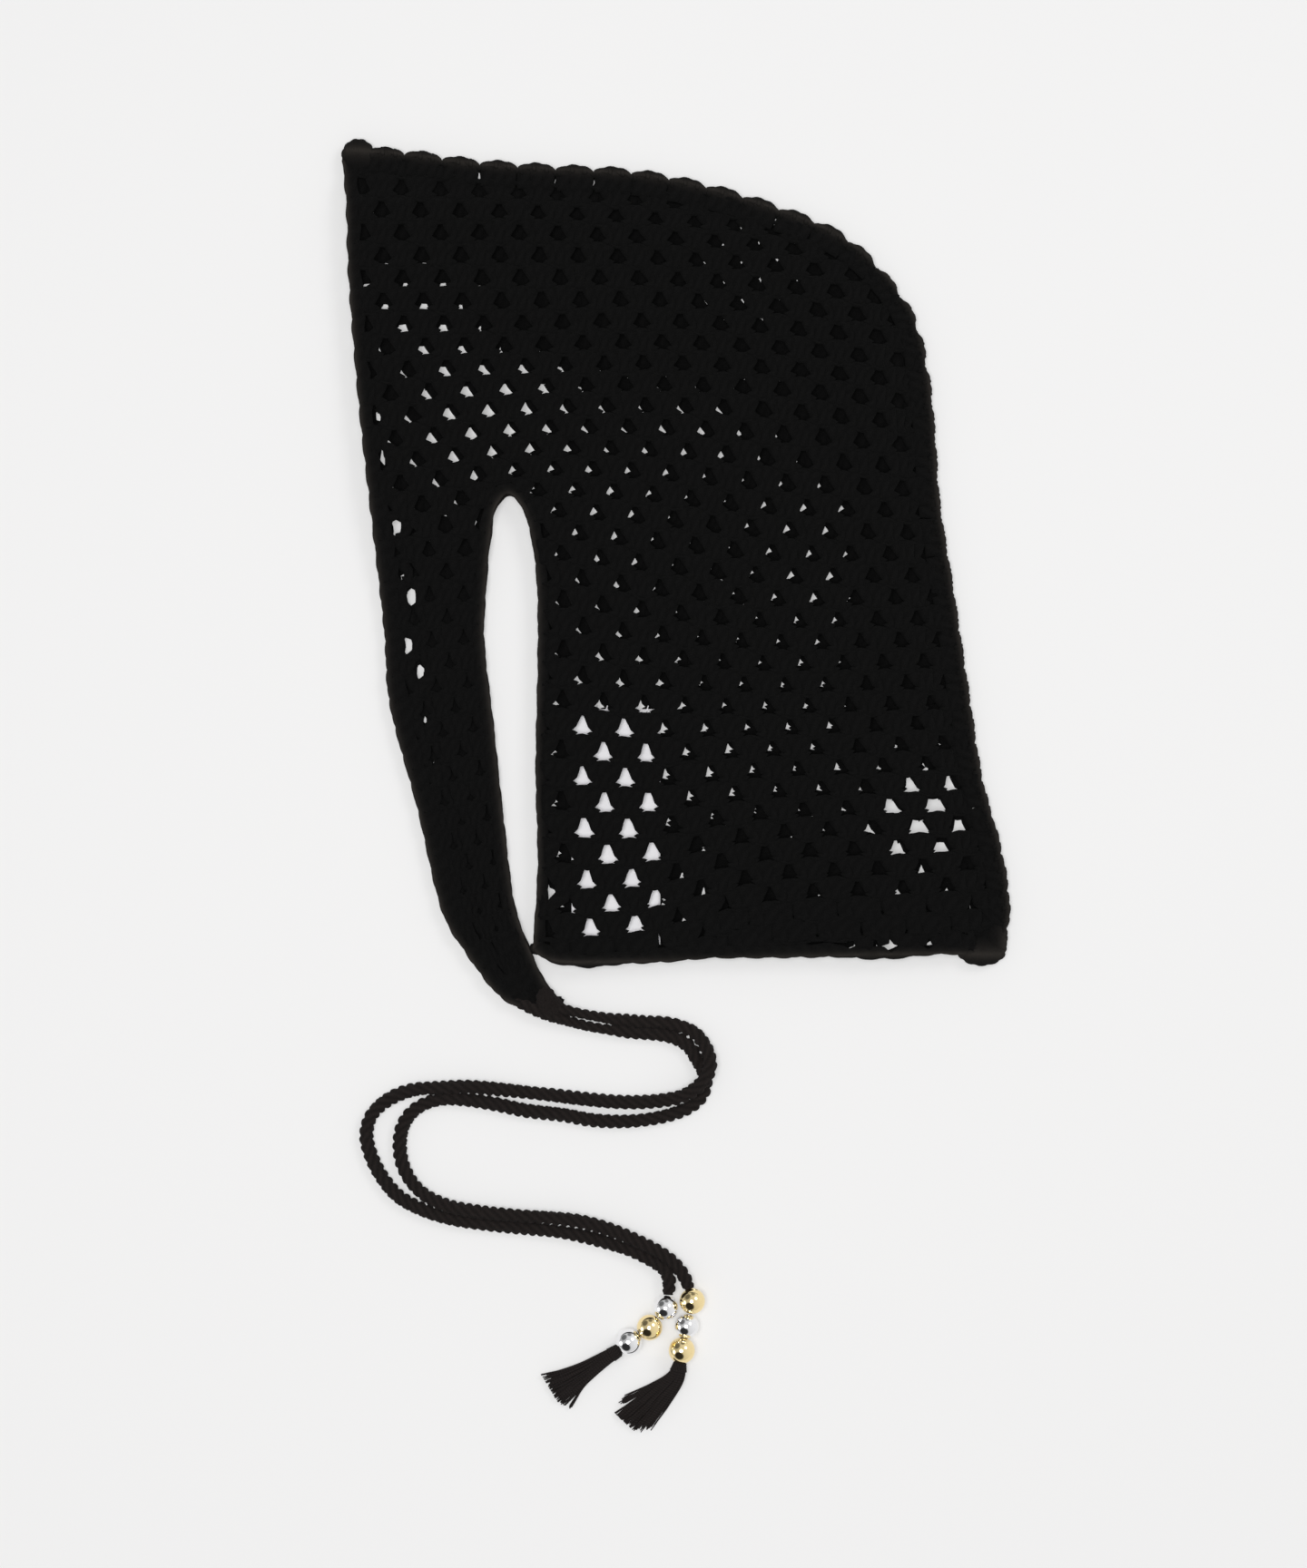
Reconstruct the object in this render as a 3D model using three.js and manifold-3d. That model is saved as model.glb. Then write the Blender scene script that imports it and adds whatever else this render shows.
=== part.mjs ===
// A black crochet hood with two long tie cords, lying flat and folded double along its seam.
// Millimetres, +Z up, the underside on z = 0. The face opening is on the -X side and the crown on the +Y side.
import * as THREE from "three";
import { mergeVertices } from "three/addons/utils/BufferGeometryUtils.js";
import Module from "manifold-3d";

const wasm = await Module();
wasm.setup();

// Driving dimensions
const wall = 3; // thickness of one crochet side
const hollow = 5.4; // clear height between the sides where the head goes
const pinch = 0.6; // clear height where the sides lie together
const gap = 0.3; // between neighbouring pieces
const frontBandWidth = 11;
const notchBandWidth = 5;
const hemWidth = 8;
const ridge = { width: 5, height: 6.8, sides: 8, steps: 52 };
const cordDiameter = 5;
const cord = { sides: 8, steps: 46 };
const bead = { diameter: 11.4, bore: 3, arcSteps: 8, sides: 18 };
const label = { width: 43.5, length: 109, thickness: 0.8, x: -26.7, y: -116 };
const cutHeight = 30; // a plan outline is carried this far up before it is cut to a side's wall
const sheet = { width: 340, length: 430, columns: 24, rows: 30 }; // a side before it is cut to the plan

// How the upper side rises from the seam, and how it sinks again down the front strap
const rise = { fromSeam: 5, toSeam: 26 };
const strapFall = { x: -70, blend: 14, top: 48, bottom: -22 };

// Outer edges seen from above, clockwise, with the cloth on the right of the way they run
const crownEdge = [
  { x: -152, y: 197 },
  { x: -128, y: 195.5 },
  { x: -94.5, y: 191 },
  { x: -61, y: 188.5 },
  { x: -19, y: 186 },
  { x: 14.5, y: 179.5 },
  { x: 48.5, y: 169 },
  { x: 77.5, y: 156.5 },
  { x: 96.5, y: 140.5 },
  { x: 110.5, y: 119.5 },
  { x: 116.5, y: 94.5 },
  { x: 119.5, y: 65 },
  { x: 121.5, y: 35.5 },
  { x: 128, y: -6.5 },
  { x: 135.5, y: -56.5 },
  { x: 141.5, y: -94.5 },
  { x: 150.5, y: -128 },
  { x: 154, y: -153.5 },
  { x: 151.5, y: -175 },
];
const hemEdge = [
  { x: 151.5, y: -175 },
  { x: 120, y: -174.5 },
  { x: 65, y: -175.5 },
  { x: -19, y: -178 },
  { x: -59, y: -177 },
  { x: -66, y: -172.5 },
];
const notchEdge = [
  { x: -66, y: -172.5 },
  { x: -64.5, y: -153.5 },
  { x: -63.5, y: -132.5 },
  { x: -64.5, y: -90.5 },
  { x: -63.5, y: -36 },
  { x: -64, y: -2 },
  { x: -67, y: 20 },
  { x: -71.5, y: 33 },
  { x: -77.5, y: 38 },
  { x: -83, y: 33 },
  { x: -86.5, y: 16 },
  { x: -88.5, y: -6.5 },
  { x: -89.5, y: -27.5 },
  { x: -85, y: -69.5 },
  { x: -80.5, y: -111.5 },
  { x: -75, y: -153.5 },
  { x: -70, y: -168 },
  { x: -61, y: -188 },
  { x: -54, y: -196.5 },
];
const faceEdge = [
  { x: -54, y: -203.5 },
  { x: -71.5, y: -199.5 },
  { x: -81, y: -194.5 },
  { x: -98.5, y: -172 },
  { x: -107, y: -157.5 },
  { x: -119.5, y: -107 },
  { x: -132.5, y: -57 },
  { x: -134.5, y: -27.5 },
  { x: -140.5, y: 27.5 },
  { x: -146, y: 77.5 },
  { x: -151, y: 140.5 },
  { x: -152, y: 172 },
  { x: -154, y: 192.5 },
];

// The gathered knots at the two ends of the seam
const seamKnots = [
  { x: -147, y: 195, halfX: 7.6, halfY: 7.2 },
  { x: 142.5, y: -172.5, halfX: 11, halfY: 7 },
];

// The routes of the tie cords, from the strap's tip to the first bead. The left cord passes over the right one
// in its first bend.
const cordRoutes = {
  left: [
    { x: -53.5, y: -199, z: 6.2 },
    { x: -44, y: -201, z: 4.9 },
    { x: -35, y: -203, z: 3.7 },
    { x: -25.5, y: -204.5, z: 2.9 },
    { x: -15.5, y: -205.5, z: 2.5 },
    { x: -5.5, y: -206, z: 2.5 },
    { x: 2, y: -208, z: 2.5 },
    { x: 8.5, y: -211.5, z: 3 },
    { x: 12.5, y: -216, z: 4.1 },
    { x: 15, y: -221.5, z: 5.7 },
    { x: 15.5, y: -227, z: 7.2 },
    { x: 13.5, y: -232, z: 8 },
    { x: 9.5, y: -236.5, z: 7.5 },
    { x: 3, y: -240.5, z: 6.1 },
    { x: -5.5, y: -242.5, z: 4.5 },
    { x: -15.5, y: -243.5, z: 3.2 },
    { x: -27.5, y: -243.5, z: 2.5 },
    { x: -44, y: -242, z: 2.5 },
    { x: -61, y: -240, z: 2.5 },
    { x: -78, y: -238, z: 2.5 },
    { x: -94.5, y: -236, z: 2.5 },
    { x: -111, y: -236, z: 2.5 },
    { x: -123, y: -238, z: 2.5 },
    { x: -133.5, y: -242.5, z: 2.5 },
    { x: -141, y: -249.5, z: 2.5 },
    { x: -143.5, y: -258.5, z: 2.5 },
    { x: -141.5, y: -268, z: 2.5 },
    { x: -136.5, y: -278, z: 2.5 },
    { x: -129, y: -287, z: 2.5 },
    { x: -118.5, y: -293.5, z: 2.5 },
    { x: -105, y: -298, z: 2.5 },
    { x: -88, y: -300.5, z: 2.5 },
    { x: -71, y: -302.5, z: 2.5 },
    { x: -54.5, y: -304.5, z: 2.5 },
    { x: -40, y: -307.5, z: 2.5 },
    { x: -26.5, y: -311.5, z: 2.5 },
    { x: -16, y: -315, z: 2.5 },
    { x: -10, y: -317.5, z: 2.7 },
    { x: -5.2, y: -320.8, z: 3.2 },
    { x: -3, y: -325.5, z: 4.4 },
    { x: -3.3, y: -332.5, z: 5.7 },
  ],
  right: [
    { x: -53.5, y: -203, z: 2.5 },
    { x: -44, y: -206.5, z: 2.5 },
    { x: -35, y: -209, z: 2.5 },
    { x: -23, y: -211, z: 2.5 },
    { x: -13, y: -212, z: 2.5 },
    { x: -5.5, y: -212.5, z: 2.5 },
    { x: 1, y: -214.5, z: 2.5 },
    { x: 6, y: -218, z: 2.5 },
    { x: 9.5, y: -223.5, z: 2.5 },
    { x: 12.5, y: -229, z: 2.5 },
    { x: 13.5, y: -234.5, z: 2.5 },
    { x: 12, y: -240, z: 2.5 },
    { x: 8, y: -244.5, z: 2.5 },
    { x: 1.5, y: -248, z: 2.5 },
    { x: -9.5, y: -251, z: 2.5 },
    { x: -23, y: -252.5, z: 2.5 },
    { x: -38, y: -252, z: 2.5 },
    { x: -52.5, y: -249.5, z: 2.5 },
    { x: -69.5, y: -247.5, z: 2.5 },
    { x: -84, y: -244.5, z: 2.5 },
    { x: -96.5, y: -242.5, z: 2.5 },
    { x: -107, y: -242, z: 2.5 },
    { x: -115.5, y: -244, z: 2.5 },
    { x: -122, y: -248, z: 2.5 },
    { x: -126.5, y: -254.5, z: 2.5 },
    { x: -128, y: -262.5, z: 2.5 },
    { x: -127, y: -271.5, z: 2.5 },
    { x: -123, y: -280, z: 2.5 },
    { x: -116.5, y: -286.5, z: 2.5 },
    { x: -106, y: -290.5, z: 2.5 },
    { x: -92.5, y: -293, z: 2.5 },
    { x: -75.5, y: -295, z: 2.5 },
    { x: -59, y: -296, z: 2.5 },
    { x: -44, y: -297.5, z: 2.5 },
    { x: -30.5, y: -301.5, z: 2.5 },
    { x: -19, y: -306.5, z: 2.5 },
    { x: -8, y: -312.5, z: 2.5 },
    { x: -1, y: -318, z: 2.8 },
    { x: 3, y: -323.5, z: 4.2 },
    { x: 6, y: -329.8, z: 5.7 },
  ],
};

// The balls on each cord, in the order in which they are threaded
const beadPlaces = {
  left: [
    { x: -5, y: -338.5, metal: "silver" },
    { x: -12.4, y: -347.8, metal: "gold" },
    { x: -22.1, y: -354.7, metal: "silver" },
  ],
  right: [
    { x: 7.8, y: -335.6, metal: "gold" },
    { x: 4.4, y: -346.8, metal: "silver" },
    { x: 2.3, y: -358.4, metal: "gold" },
  ],
};

// A tassel's sections along its spine: half its width and its height above and below the spine
const tasselSections = {
  left: [
    { x: -27, y: -358.2, z: 5.6, halfWidth: 2.6, halfHeight: 2.3 },
    { x: -34, y: -362.5, z: 4.4, halfWidth: 3.6, halfHeight: 2.6 },
    { x: -43, y: -368.5, z: 2.8, halfWidth: 5.2, halfHeight: 2.5 },
    { x: -50.5, y: -374, z: 2.1, halfWidth: 6.6, halfHeight: 2 },
    { x: -56.5, y: -378.5, z: 1.7, halfWidth: 7.6, halfHeight: 1.6 },
  ],
  right: [
    { x: 1.6, y: -364.2, z: 5.6, halfWidth: 2.7, halfHeight: 2.3 },
    { x: 1, y: -370.5, z: 4.4, halfWidth: 3.8, halfHeight: 2.6 },
    { x: -4, y: -378.5, z: 2.8, halfWidth: 6, halfHeight: 2.5 },
    { x: -12, y: -386, z: 2.1, halfWidth: 7.8, halfHeight: 2 },
    { x: -19, y: -391.5, z: 1.7, halfWidth: 8.8, halfHeight: 1.6 },
  ],
};

const finishes = {
  yarn: { color: 0x111111, roughness: 0.92, metalness: 0 },
  cordYarn: { color: 0x1a1716, roughness: 0.88, metalness: 0 },
  tasselThread: { color: 0x221f1e, roughness: 0.85, metalness: 0 },
  gold: { color: 0xd9a441, roughness: 0.12, metalness: 1 },
  silver: { color: 0xd8d8da, roughness: 0.08, metalness: 1 },
  satin: { color: 0xdadbe2, roughness: 0.45, metalness: 0 },
};

const hood = new THREE.Group();

function addPiece(name, geometry, finish) {
  const mesh = new THREE.Mesh(geometry, new THREE.MeshStandardMaterial(finishes[finish]));
  mesh.name = name;
  hood.add(mesh);
}

function solidFrom(geometry) {
  const bare = geometry.clone();
  bare.deleteAttribute("normal");
  bare.deleteAttribute("uv");
  const merged = mergeVertices(bare, 1e-4);
  return new wasm.Manifold(
    new wasm.Mesh({
      numProp: 3,
      vertProperties: merged.attributes.position.array,
      triVerts: new Uint32Array(merged.index.array),
    }),
  );
}

function geometryFrom(solid) {
  const mesh = solid.getMesh();
  const geometry = new THREE.BufferGeometry();
  geometry.setAttribute("position", new THREE.BufferAttribute(mesh.vertProperties, 3));
  geometry.setIndex(new THREE.BufferAttribute(mesh.triVerts, 1));
  return geometry;
}

// A smooth line through a table's points, sampled about every `spacing` millimetres
function smoothLine(table, spacing = 7) {
  const curve = new THREE.SplineCurve(table.map((point) => new THREE.Vector2(point.x, point.y)));
  return curve.getSpacedPoints(Math.round(curve.getLength() / spacing));
}

// The line moved sideways, to the right of the way it runs
function movedRight(line, distance) {
  return line.map((point, i) => {
    const before = line[Math.max(i - 1, 0)];
    const after = line[Math.min(i + 1, line.length - 1)];
    const along = after.clone().sub(before).normalize();
    return new THREE.Vector2(point.x + along.y * distance, point.y - along.x * distance);
  });
}

// An upright block over a plan outline
function prism(outline) {
  const block = new THREE.ExtrudeGeometry(new THREE.Shape(outline), {
    depth: cutHeight,
    bevelEnabled: false,
  });
  return solidFrom(block.translate(0, 0, -cutHeight / 2));
}

// An upright block over the strip that lies along an edge, as wide as `width` on the cloth's side. It runs
// on past the edge's two ends.
function strip(line, width, overrun = { start: 1.5, end: 1.5 }) {
  const outside = 1;
  const start = line[0].clone().add(line[0].clone().sub(line[1]).setLength(overrun.start));
  const last = line.length - 1;
  const past = line[last].clone().sub(line[last - 1]).setLength(overrun.end);
  const end = line[last].clone().add(past);
  const longer = [start, ...line, end];
  return prism([...movedRight(longer, -outside), ...movedRight(longer, width).reverse()]);
}

function ellipsePrism(knot, margin) {
  const curve = new THREE.EllipseCurve(knot.x, knot.y, knot.halfX + margin, knot.halfY + margin);
  return prism(curve.getPoints(24).slice(0, -1));
}

const lines = {
  crown: smoothLine(crownEdge),
  hem: smoothLine(hemEdge),
  notch: smoothLine(notchEdge),
  face: smoothLine(faceEdge),
};

function smoothStep(from, to, value) {
  return THREE.MathUtils.smoothstep(value, from, to);
}

// Clear height between the two sides: none to speak of at the seam and down the strap, full in the crown
function clearHeight(x, y) {
  const here = new THREE.Vector2(x, y);
  const seamDistance = Math.min(...lines.crown.map((point) => point.distanceTo(here)));
  const open = smoothStep(rise.fromSeam, rise.toSeam, seamDistance);
  const onStrap = 1 - smoothStep(strapFall.x, strapFall.x + strapFall.blend, x);
  const down = 1 - smoothStep(strapFall.bottom, strapFall.top, y);
  return pinch + (hollow - pinch) * open * (1 - onStrap * down);
}

// The upper side's wall over the whole plan: a sheet whose underside is at the wall plus the clear height
function upperSheet() {
  const { width, length, columns, rows } = sheet;
  const form = new THREE.BoxGeometry(width, length, wall, columns, rows, 1);
  const place = form.attributes.position;
  for (let i = 0; i < place.count; i++) {
    const lift = wall + clearHeight(place.getX(i), place.getY(i)) + wall / 2;
    place.setZ(i, place.getZ(i) + lift);
  }
  return solidFrom(form);
}

function lowerSheet() {
  return solidFrom(new THREE.BoxGeometry(sheet.width, sheet.length, wall).translate(0, 0, wall / 2));
}

// Plan blocks of the panel and its bands, each clear of its neighbours
const whole = prism([...lines.crown, ...lines.hem, ...lines.notch, ...lines.face]);
const seamRoom = seamKnots.reduce(
  (room, knot) => room.add(ellipsePrism(knot, gap)),
  strip(lines.crown, ridge.width + gap),
);
const hemRoom = strip(lines.hem, hemWidth + gap, { start: 1.5, end: gap });
const pastTip = { start: 1.5, end: 9 };
const notchRoom = strip(lines.notch, notchBandWidth + gap, pastTip);
const plans = {
  neck_hem: whole.intersect(strip(lines.hem, hemWidth, { start: 1.5, end: 0 })).subtract(seamRoom),
  notch_band: whole.intersect(strip(lines.notch, notchBandWidth, pastTip)).subtract(hemRoom),
  front_band: whole
    .intersect(strip(lines.face, frontBandWidth))
    .subtract(notchRoom)
    .subtract(seamRoom),
  side_panel: whole
    .subtract(hemRoom)
    .subtract(notchRoom)
    .subtract(strip(lines.face, frontBandWidth + gap))
    .subtract(seamRoom),
};
const walls = { lower: lowerSheet(), upper: upperSheet() };
for (const [name, plan] of Object.entries(plans)) {
  for (const [side, form] of Object.entries(walls)) {
    addPiece(`${name}_${side}`, geometryFrom(plan.intersect(form)), "yarn");
  }
}

// A closed tube along a curve, with an oval section
function tube(points, halfHeight, halfWidth, sides, steps) {
  const section = new THREE.Shape();
  for (let i = 0; i < sides; i++) {
    const angle = (2 * Math.PI * i) / sides;
    const corner = [halfHeight * Math.cos(angle), halfWidth * Math.sin(angle)];
    if (i === 0) section.moveTo(...corner);
    else section.lineTo(...corner);
  }
  section.closePath();
  const extrudePath = new THREE.CatmullRomCurve3(points);
  return new THREE.ExtrudeGeometry(section, { steps, bevelEnabled: false, extrudePath });
}

// The seam's ridge joins the sides over the crown and down the back, gathered into a knot at each end
function crownSeam() {
  const middle = movedRight(lines.crown, ridge.width / 2);
  const height = ridge.height / 2;
  const route = middle.map((point) => new THREE.Vector3(point.x, point.y, height));
  const rope = tube(route, height, ridge.width / 2, ridge.sides, ridge.steps);
  return seamKnots.reduce((seam, knot) => {
    const ball = new THREE.SphereGeometry(1, 16, 8).rotateX(Math.PI / 2);
    ball.scale(knot.halfX, knot.halfY, height).translate(knot.x, knot.y, height);
    return seam.add(solidFrom(ball));
  }, solidFrom(rope));
}
addPiece("crown_seam", geometryFrom(crownSeam()), "yarn");

// A ball with a bore through it, lying with the bore along the string
function beadBall(place, towards) {
  const profile = [];
  const boreRadius = bead.bore / 2;
  const radius = bead.diameter / 2;
  const start = Math.asin(boreRadius / radius);
  for (let i = 0; i <= bead.arcSteps; i++) {
    const angle = start + ((Math.PI - 2 * start) * i) / bead.arcSteps;
    profile.push(new THREE.Vector2(radius * Math.sin(angle), -radius * Math.cos(angle)));
  }
  profile.push(profile[0].clone());
  const ball = new THREE.LatheGeometry(profile, bead.sides);
  const turn = Math.atan2(towards.y - place.y, towards.x - place.x) - Math.PI / 2;
  return ball.rotateZ(turn).translate(place.x, place.y, radius);
}

// A tassel's outer form: a cylinder's rings carried along the spine, wider and flatter towards the end
function tasselForm(sections) {
  const rings = 8;
  const form = new THREE.CylinderGeometry(1, 1, 1, 12, rings);
  const spine = new THREE.CatmullRomCurve3(
    sections.map((row) => new THREE.Vector3(row.x, row.y, row.z)),
  );
  const sizes = new THREE.CatmullRomCurve3(
    sections.map((row) => new THREE.Vector3(row.halfWidth, row.halfHeight, 0)),
  );
  const place = form.attributes.position;
  for (let i = 0; i < place.count; i++) {
    const share = 0.5 - place.getY(i);
    const middle = spine.getPoint(share);
    const size = sizes.getPoint(share);
    const along = spine.getTangent(share).setZ(0).normalize();
    const side = -place.getX(i) * size.x;
    place.setXYZ(
      i,
      middle.x - along.y * side,
      middle.y + along.x * side,
      middle.z - place.getZ(i) * size.y,
    );
  }
  return form;
}

for (const side of ["left", "right"]) {
  const route = cordRoutes[side].map((point) => new THREE.Vector3(point.x, point.y, point.z));
  const half = cordDiameter / 2;
  addPiece(`tie_cord_${side}`, tube(route, half, half, cord.sides, cord.steps), "cordYarn");
  const places = beadPlaces[side];
  places.forEach((place, i) => {
    const towards = i === 0 ? cordRoutes[side].at(-1) : places[i - 1];
    addPiece(`bead_${side}_${i + 1}`, beadBall(place, towards), place.metal);
  });
  addPiece(`tassel_${side}`, tasselForm(tasselSections[side]), "tasselThread");
}

const labelSheet = new THREE.BoxGeometry(label.width, label.length, label.thickness);
labelSheet.translate(label.x, label.y, wall + gap + label.thickness / 2);
addPiece("care_label", labelSheet, "satin");

export default hood;
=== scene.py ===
import bpy
import numpy as np
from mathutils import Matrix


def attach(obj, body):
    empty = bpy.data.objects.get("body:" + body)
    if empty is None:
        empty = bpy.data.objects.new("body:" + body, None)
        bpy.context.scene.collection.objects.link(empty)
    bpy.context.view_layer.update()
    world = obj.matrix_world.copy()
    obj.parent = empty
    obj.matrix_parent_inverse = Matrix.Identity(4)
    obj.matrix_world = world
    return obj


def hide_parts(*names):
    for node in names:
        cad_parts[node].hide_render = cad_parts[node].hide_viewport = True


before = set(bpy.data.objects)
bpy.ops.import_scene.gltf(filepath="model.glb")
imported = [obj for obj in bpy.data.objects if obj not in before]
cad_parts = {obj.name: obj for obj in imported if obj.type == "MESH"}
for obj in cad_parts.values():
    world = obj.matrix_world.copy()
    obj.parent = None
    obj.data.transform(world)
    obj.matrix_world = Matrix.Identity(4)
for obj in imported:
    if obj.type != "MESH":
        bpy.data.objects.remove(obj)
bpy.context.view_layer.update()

mm = 0.001               # the tables below are in millimetres, and meshes are made in metres
chance = np.random.default_rng(11)


# A smooth curve through the points, with even steps: centripetal Catmull-Rom, each span a blend of
# blends of four neighbours, then read again at equal distances.
def smoothLine(points, spacing):
    points = np.asarray(points, float)
    ends = [2 * points[:1] - points[1:2], points, 2 * points[-1:] - points[-2:-1]]
    padded = np.concatenate(ends)
    knots = np.sqrt(np.linalg.norm(np.diff(padded, axis=0), axis=1))
    knots = np.concatenate([[0], np.cumsum(knots)])
    spans = len(points) - 1
    part = np.linspace(0, 1, 12, endpoint=False)
    a, b, c, d = (padded[k:k + spans, None] for k in range(4))
    ta, tb, tc, td = (knots[k:k + spans, None, None] for k in range(4))
    t = tb + (tc - tb) * part[None, :, None]

    def blend(p, q, tp, tq):
        return (p * (tq - t) + q * (t - tp)) / (tq - tp)

    middle = blend(b, c, tb, tc)
    before = blend(blend(a, b, ta, tb), middle, ta, tc)
    after = blend(middle, blend(c, d, tc, td), tb, td)
    curve = blend(before, after, tb, tc).reshape(-1, points.shape[1])
    return evenSteps(np.concatenate([curve, points[-1:]]), spacing)


def distanceAlong(line):
    steps = np.linalg.norm(np.diff(line, axis=-2), axis=-1)
    start = np.zeros(steps.shape[:-1] + (1,))
    return np.concatenate([start, np.cumsum(steps, axis=-1)], axis=-1)


def evenSteps(line, spacing):
    far = distanceAlong(line)
    marks = np.linspace(0, far[-1], max(2, int(round(far[-1] / spacing)) + 1))
    return np.stack([np.interp(marks, far, line[:, k]) for k in range(line.shape[1])], 1)


def smoothStep(low, high, value):
    part = np.clip((value - low) / (high - low), 0, 1)
    return part * part * (3 - 2 * part)


# Which way a line runs at each of its points, in plan
def headings(line):
    ahead = np.gradient(line[:, :2], axis=0)
    return ahead / np.linalg.norm(ahead, axis=1, keepdims=True)


def ringAngles(sides):
    return np.linspace(0, 2 * np.pi, sides, endpoint=False)


# Tubes carried along many paths at once. A ring's point is its path's point, plus its sideways offset
# across the path, plus its offset lifted square to both. Both ends are closed. A path that turns upright
# gives its own level side.
def sweep(paths, across, up, level=None):
    paths = np.asarray(paths, float)
    count, rings = paths.shape[:2]
    sides = across.shape[-1]
    forward = np.gradient(paths, axis=1)
    forward /= np.linalg.norm(forward, axis=-1, keepdims=True)
    side = np.cross(forward, [0.0, 0.0, 1.0]) if level is None else np.broadcast_to(level, paths.shape)
    side = side / np.linalg.norm(side, axis=-1, keepdims=True)
    lift = np.cross(side, forward)
    across = np.broadcast_to(across, (count, rings, sides))
    up = np.broadcast_to(up, (count, rings, sides))
    points = paths[:, :, None] + side[:, :, None] * across[..., None] + lift[:, :, None] * up[..., None]
    corner = np.arange(count * rings * sides).reshape(count, rings, sides)
    beside = np.roll(corner, -1, axis=2)
    quads = np.stack([corner[:, :-1], corner[:, 1:], beside[:, 1:], beside[:, :-1]], -1)
    along = distanceAlong(paths)
    turn = np.arange(sides + 1) / sides
    u = np.stack([turn[:-1], turn[:-1], turn[1:], turn[1:]], -1)
    v = np.stack([along[:, :-1], along[:, 1:], along[:, 1:], along[:, :-1]], -1)
    shape = (count, rings - 1, sides, 4)
    uv = np.stack([np.broadcast_to(u, shape), np.broadcast_to(v[:, :, None], shape)], -1)
    caps = np.concatenate([corner[:, 0], corner[:, -1, ::-1]])
    capUv = np.broadcast_to(np.stack([turn[:-1], turn[:-1] * 0], -1), (len(caps), sides, 2))
    return {"points": points.reshape(-1, 3), "faces": [(quads.reshape(-1, 4), uv), (caps, capUv)]}


# One mesh object from patches of points and faces, with the UV map "weave": turns round, millimetres along.
# Pieces along the hood's edges also carry "rim", a mask of painted edge light, which fades from 1 at those
# edge lines to 0 inside them.
# Each piece has its slot's finish and stands for its node of the frame, if it has one.
def makePiece(name, patches, slot, node=None, paintedLightEdges=(), paintedLightFade=1.0):
    mesh = bpy.data.meshes.new(name)
    points = np.concatenate([patch["points"] for patch in patches]) * mm
    points[:, 2] = np.maximum(points[:, 2], 0)       # the yarn lies flat on the floor, not in it
    corners, sizes, uvs, base = [], [], [], 0
    for patch in patches:
        for faces, uv in patch["faces"]:
            corners.append(faces.ravel() + base)
            sizes.append(np.full(len(faces), faces.shape[1]))
            uvs.append(uv.reshape(-1, 2))
        base += len(patch["points"])
    corners, sizes, uvs = np.concatenate(corners), np.concatenate(sizes), np.concatenate(uvs)
    mesh.vertices.add(len(points))
    mesh.vertices.foreach_set("co", points.ravel())
    mesh.loops.add(len(corners))
    mesh.loops.foreach_set("vertex_index", corners)
    mesh.polygons.add(len(sizes))
    mesh.polygons.foreach_set("loop_start", np.concatenate([[0], np.cumsum(sizes)[:-1]]))
    mesh.update(calc_edges=True)
    mesh.polygons.foreach_set("use_smooth", np.ones(len(sizes), bool))
    layer = mesh.uv_layers.new(name="weave")
    layer.data.foreach_set("uv", uvs.ravel())
    # Painted edge light: a mask that is 1 on the given edge lines and fades inward, which makes the yarn's
    # colour paler there
    if paintedLightEdges:
        lines = np.concatenate([edgeLines[edge] for edge in paintedLightEdges])
        gap = nearest(lines, points[:, :2] / mm)[0]
        rim = mesh.attributes.new("rim", "FLOAT", "POINT")
        rim.data.foreach_set("value", np.exp(-gap / paintedLightFade).astype(np.float32))
    mesh.validate()
    mesh.materials.append(finishes[slot])
    piece = bpy.data.objects.new(name, mesh)
    bpy.context.scene.collection.objects.link(piece)
    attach(piece, "root")
    if node:
        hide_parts(node)
    print(name, "has", int((sizes - 2).sum()), "triangles")
    return piece


# A node's inputs by name or number: another node's output is linked, and a plain value is set
def setInputs(node, inputs):
    for key, value in inputs.items():
        if isinstance(value, bpy.types.NodeSocket):
            node.id_data.links.new(value, node.inputs[key])
        else:
            node.inputs[key].default_value = value


def addNode(nodes, kind, inputs=None, **settings):
    node = nodes.new(kind)
    for key, value in settings.items():
        setattr(node, key, value)
    setInputs(node, inputs or {})
    return node


def newMaterial(name, inputs):
    material = bpy.data.materials.new(name)
    material.use_nodes = True
    nodes = material.node_tree.nodes
    setInputs(nodes["Principled BSDF"], inputs)
    return material, nodes, nodes["Principled BSDF"]
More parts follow.
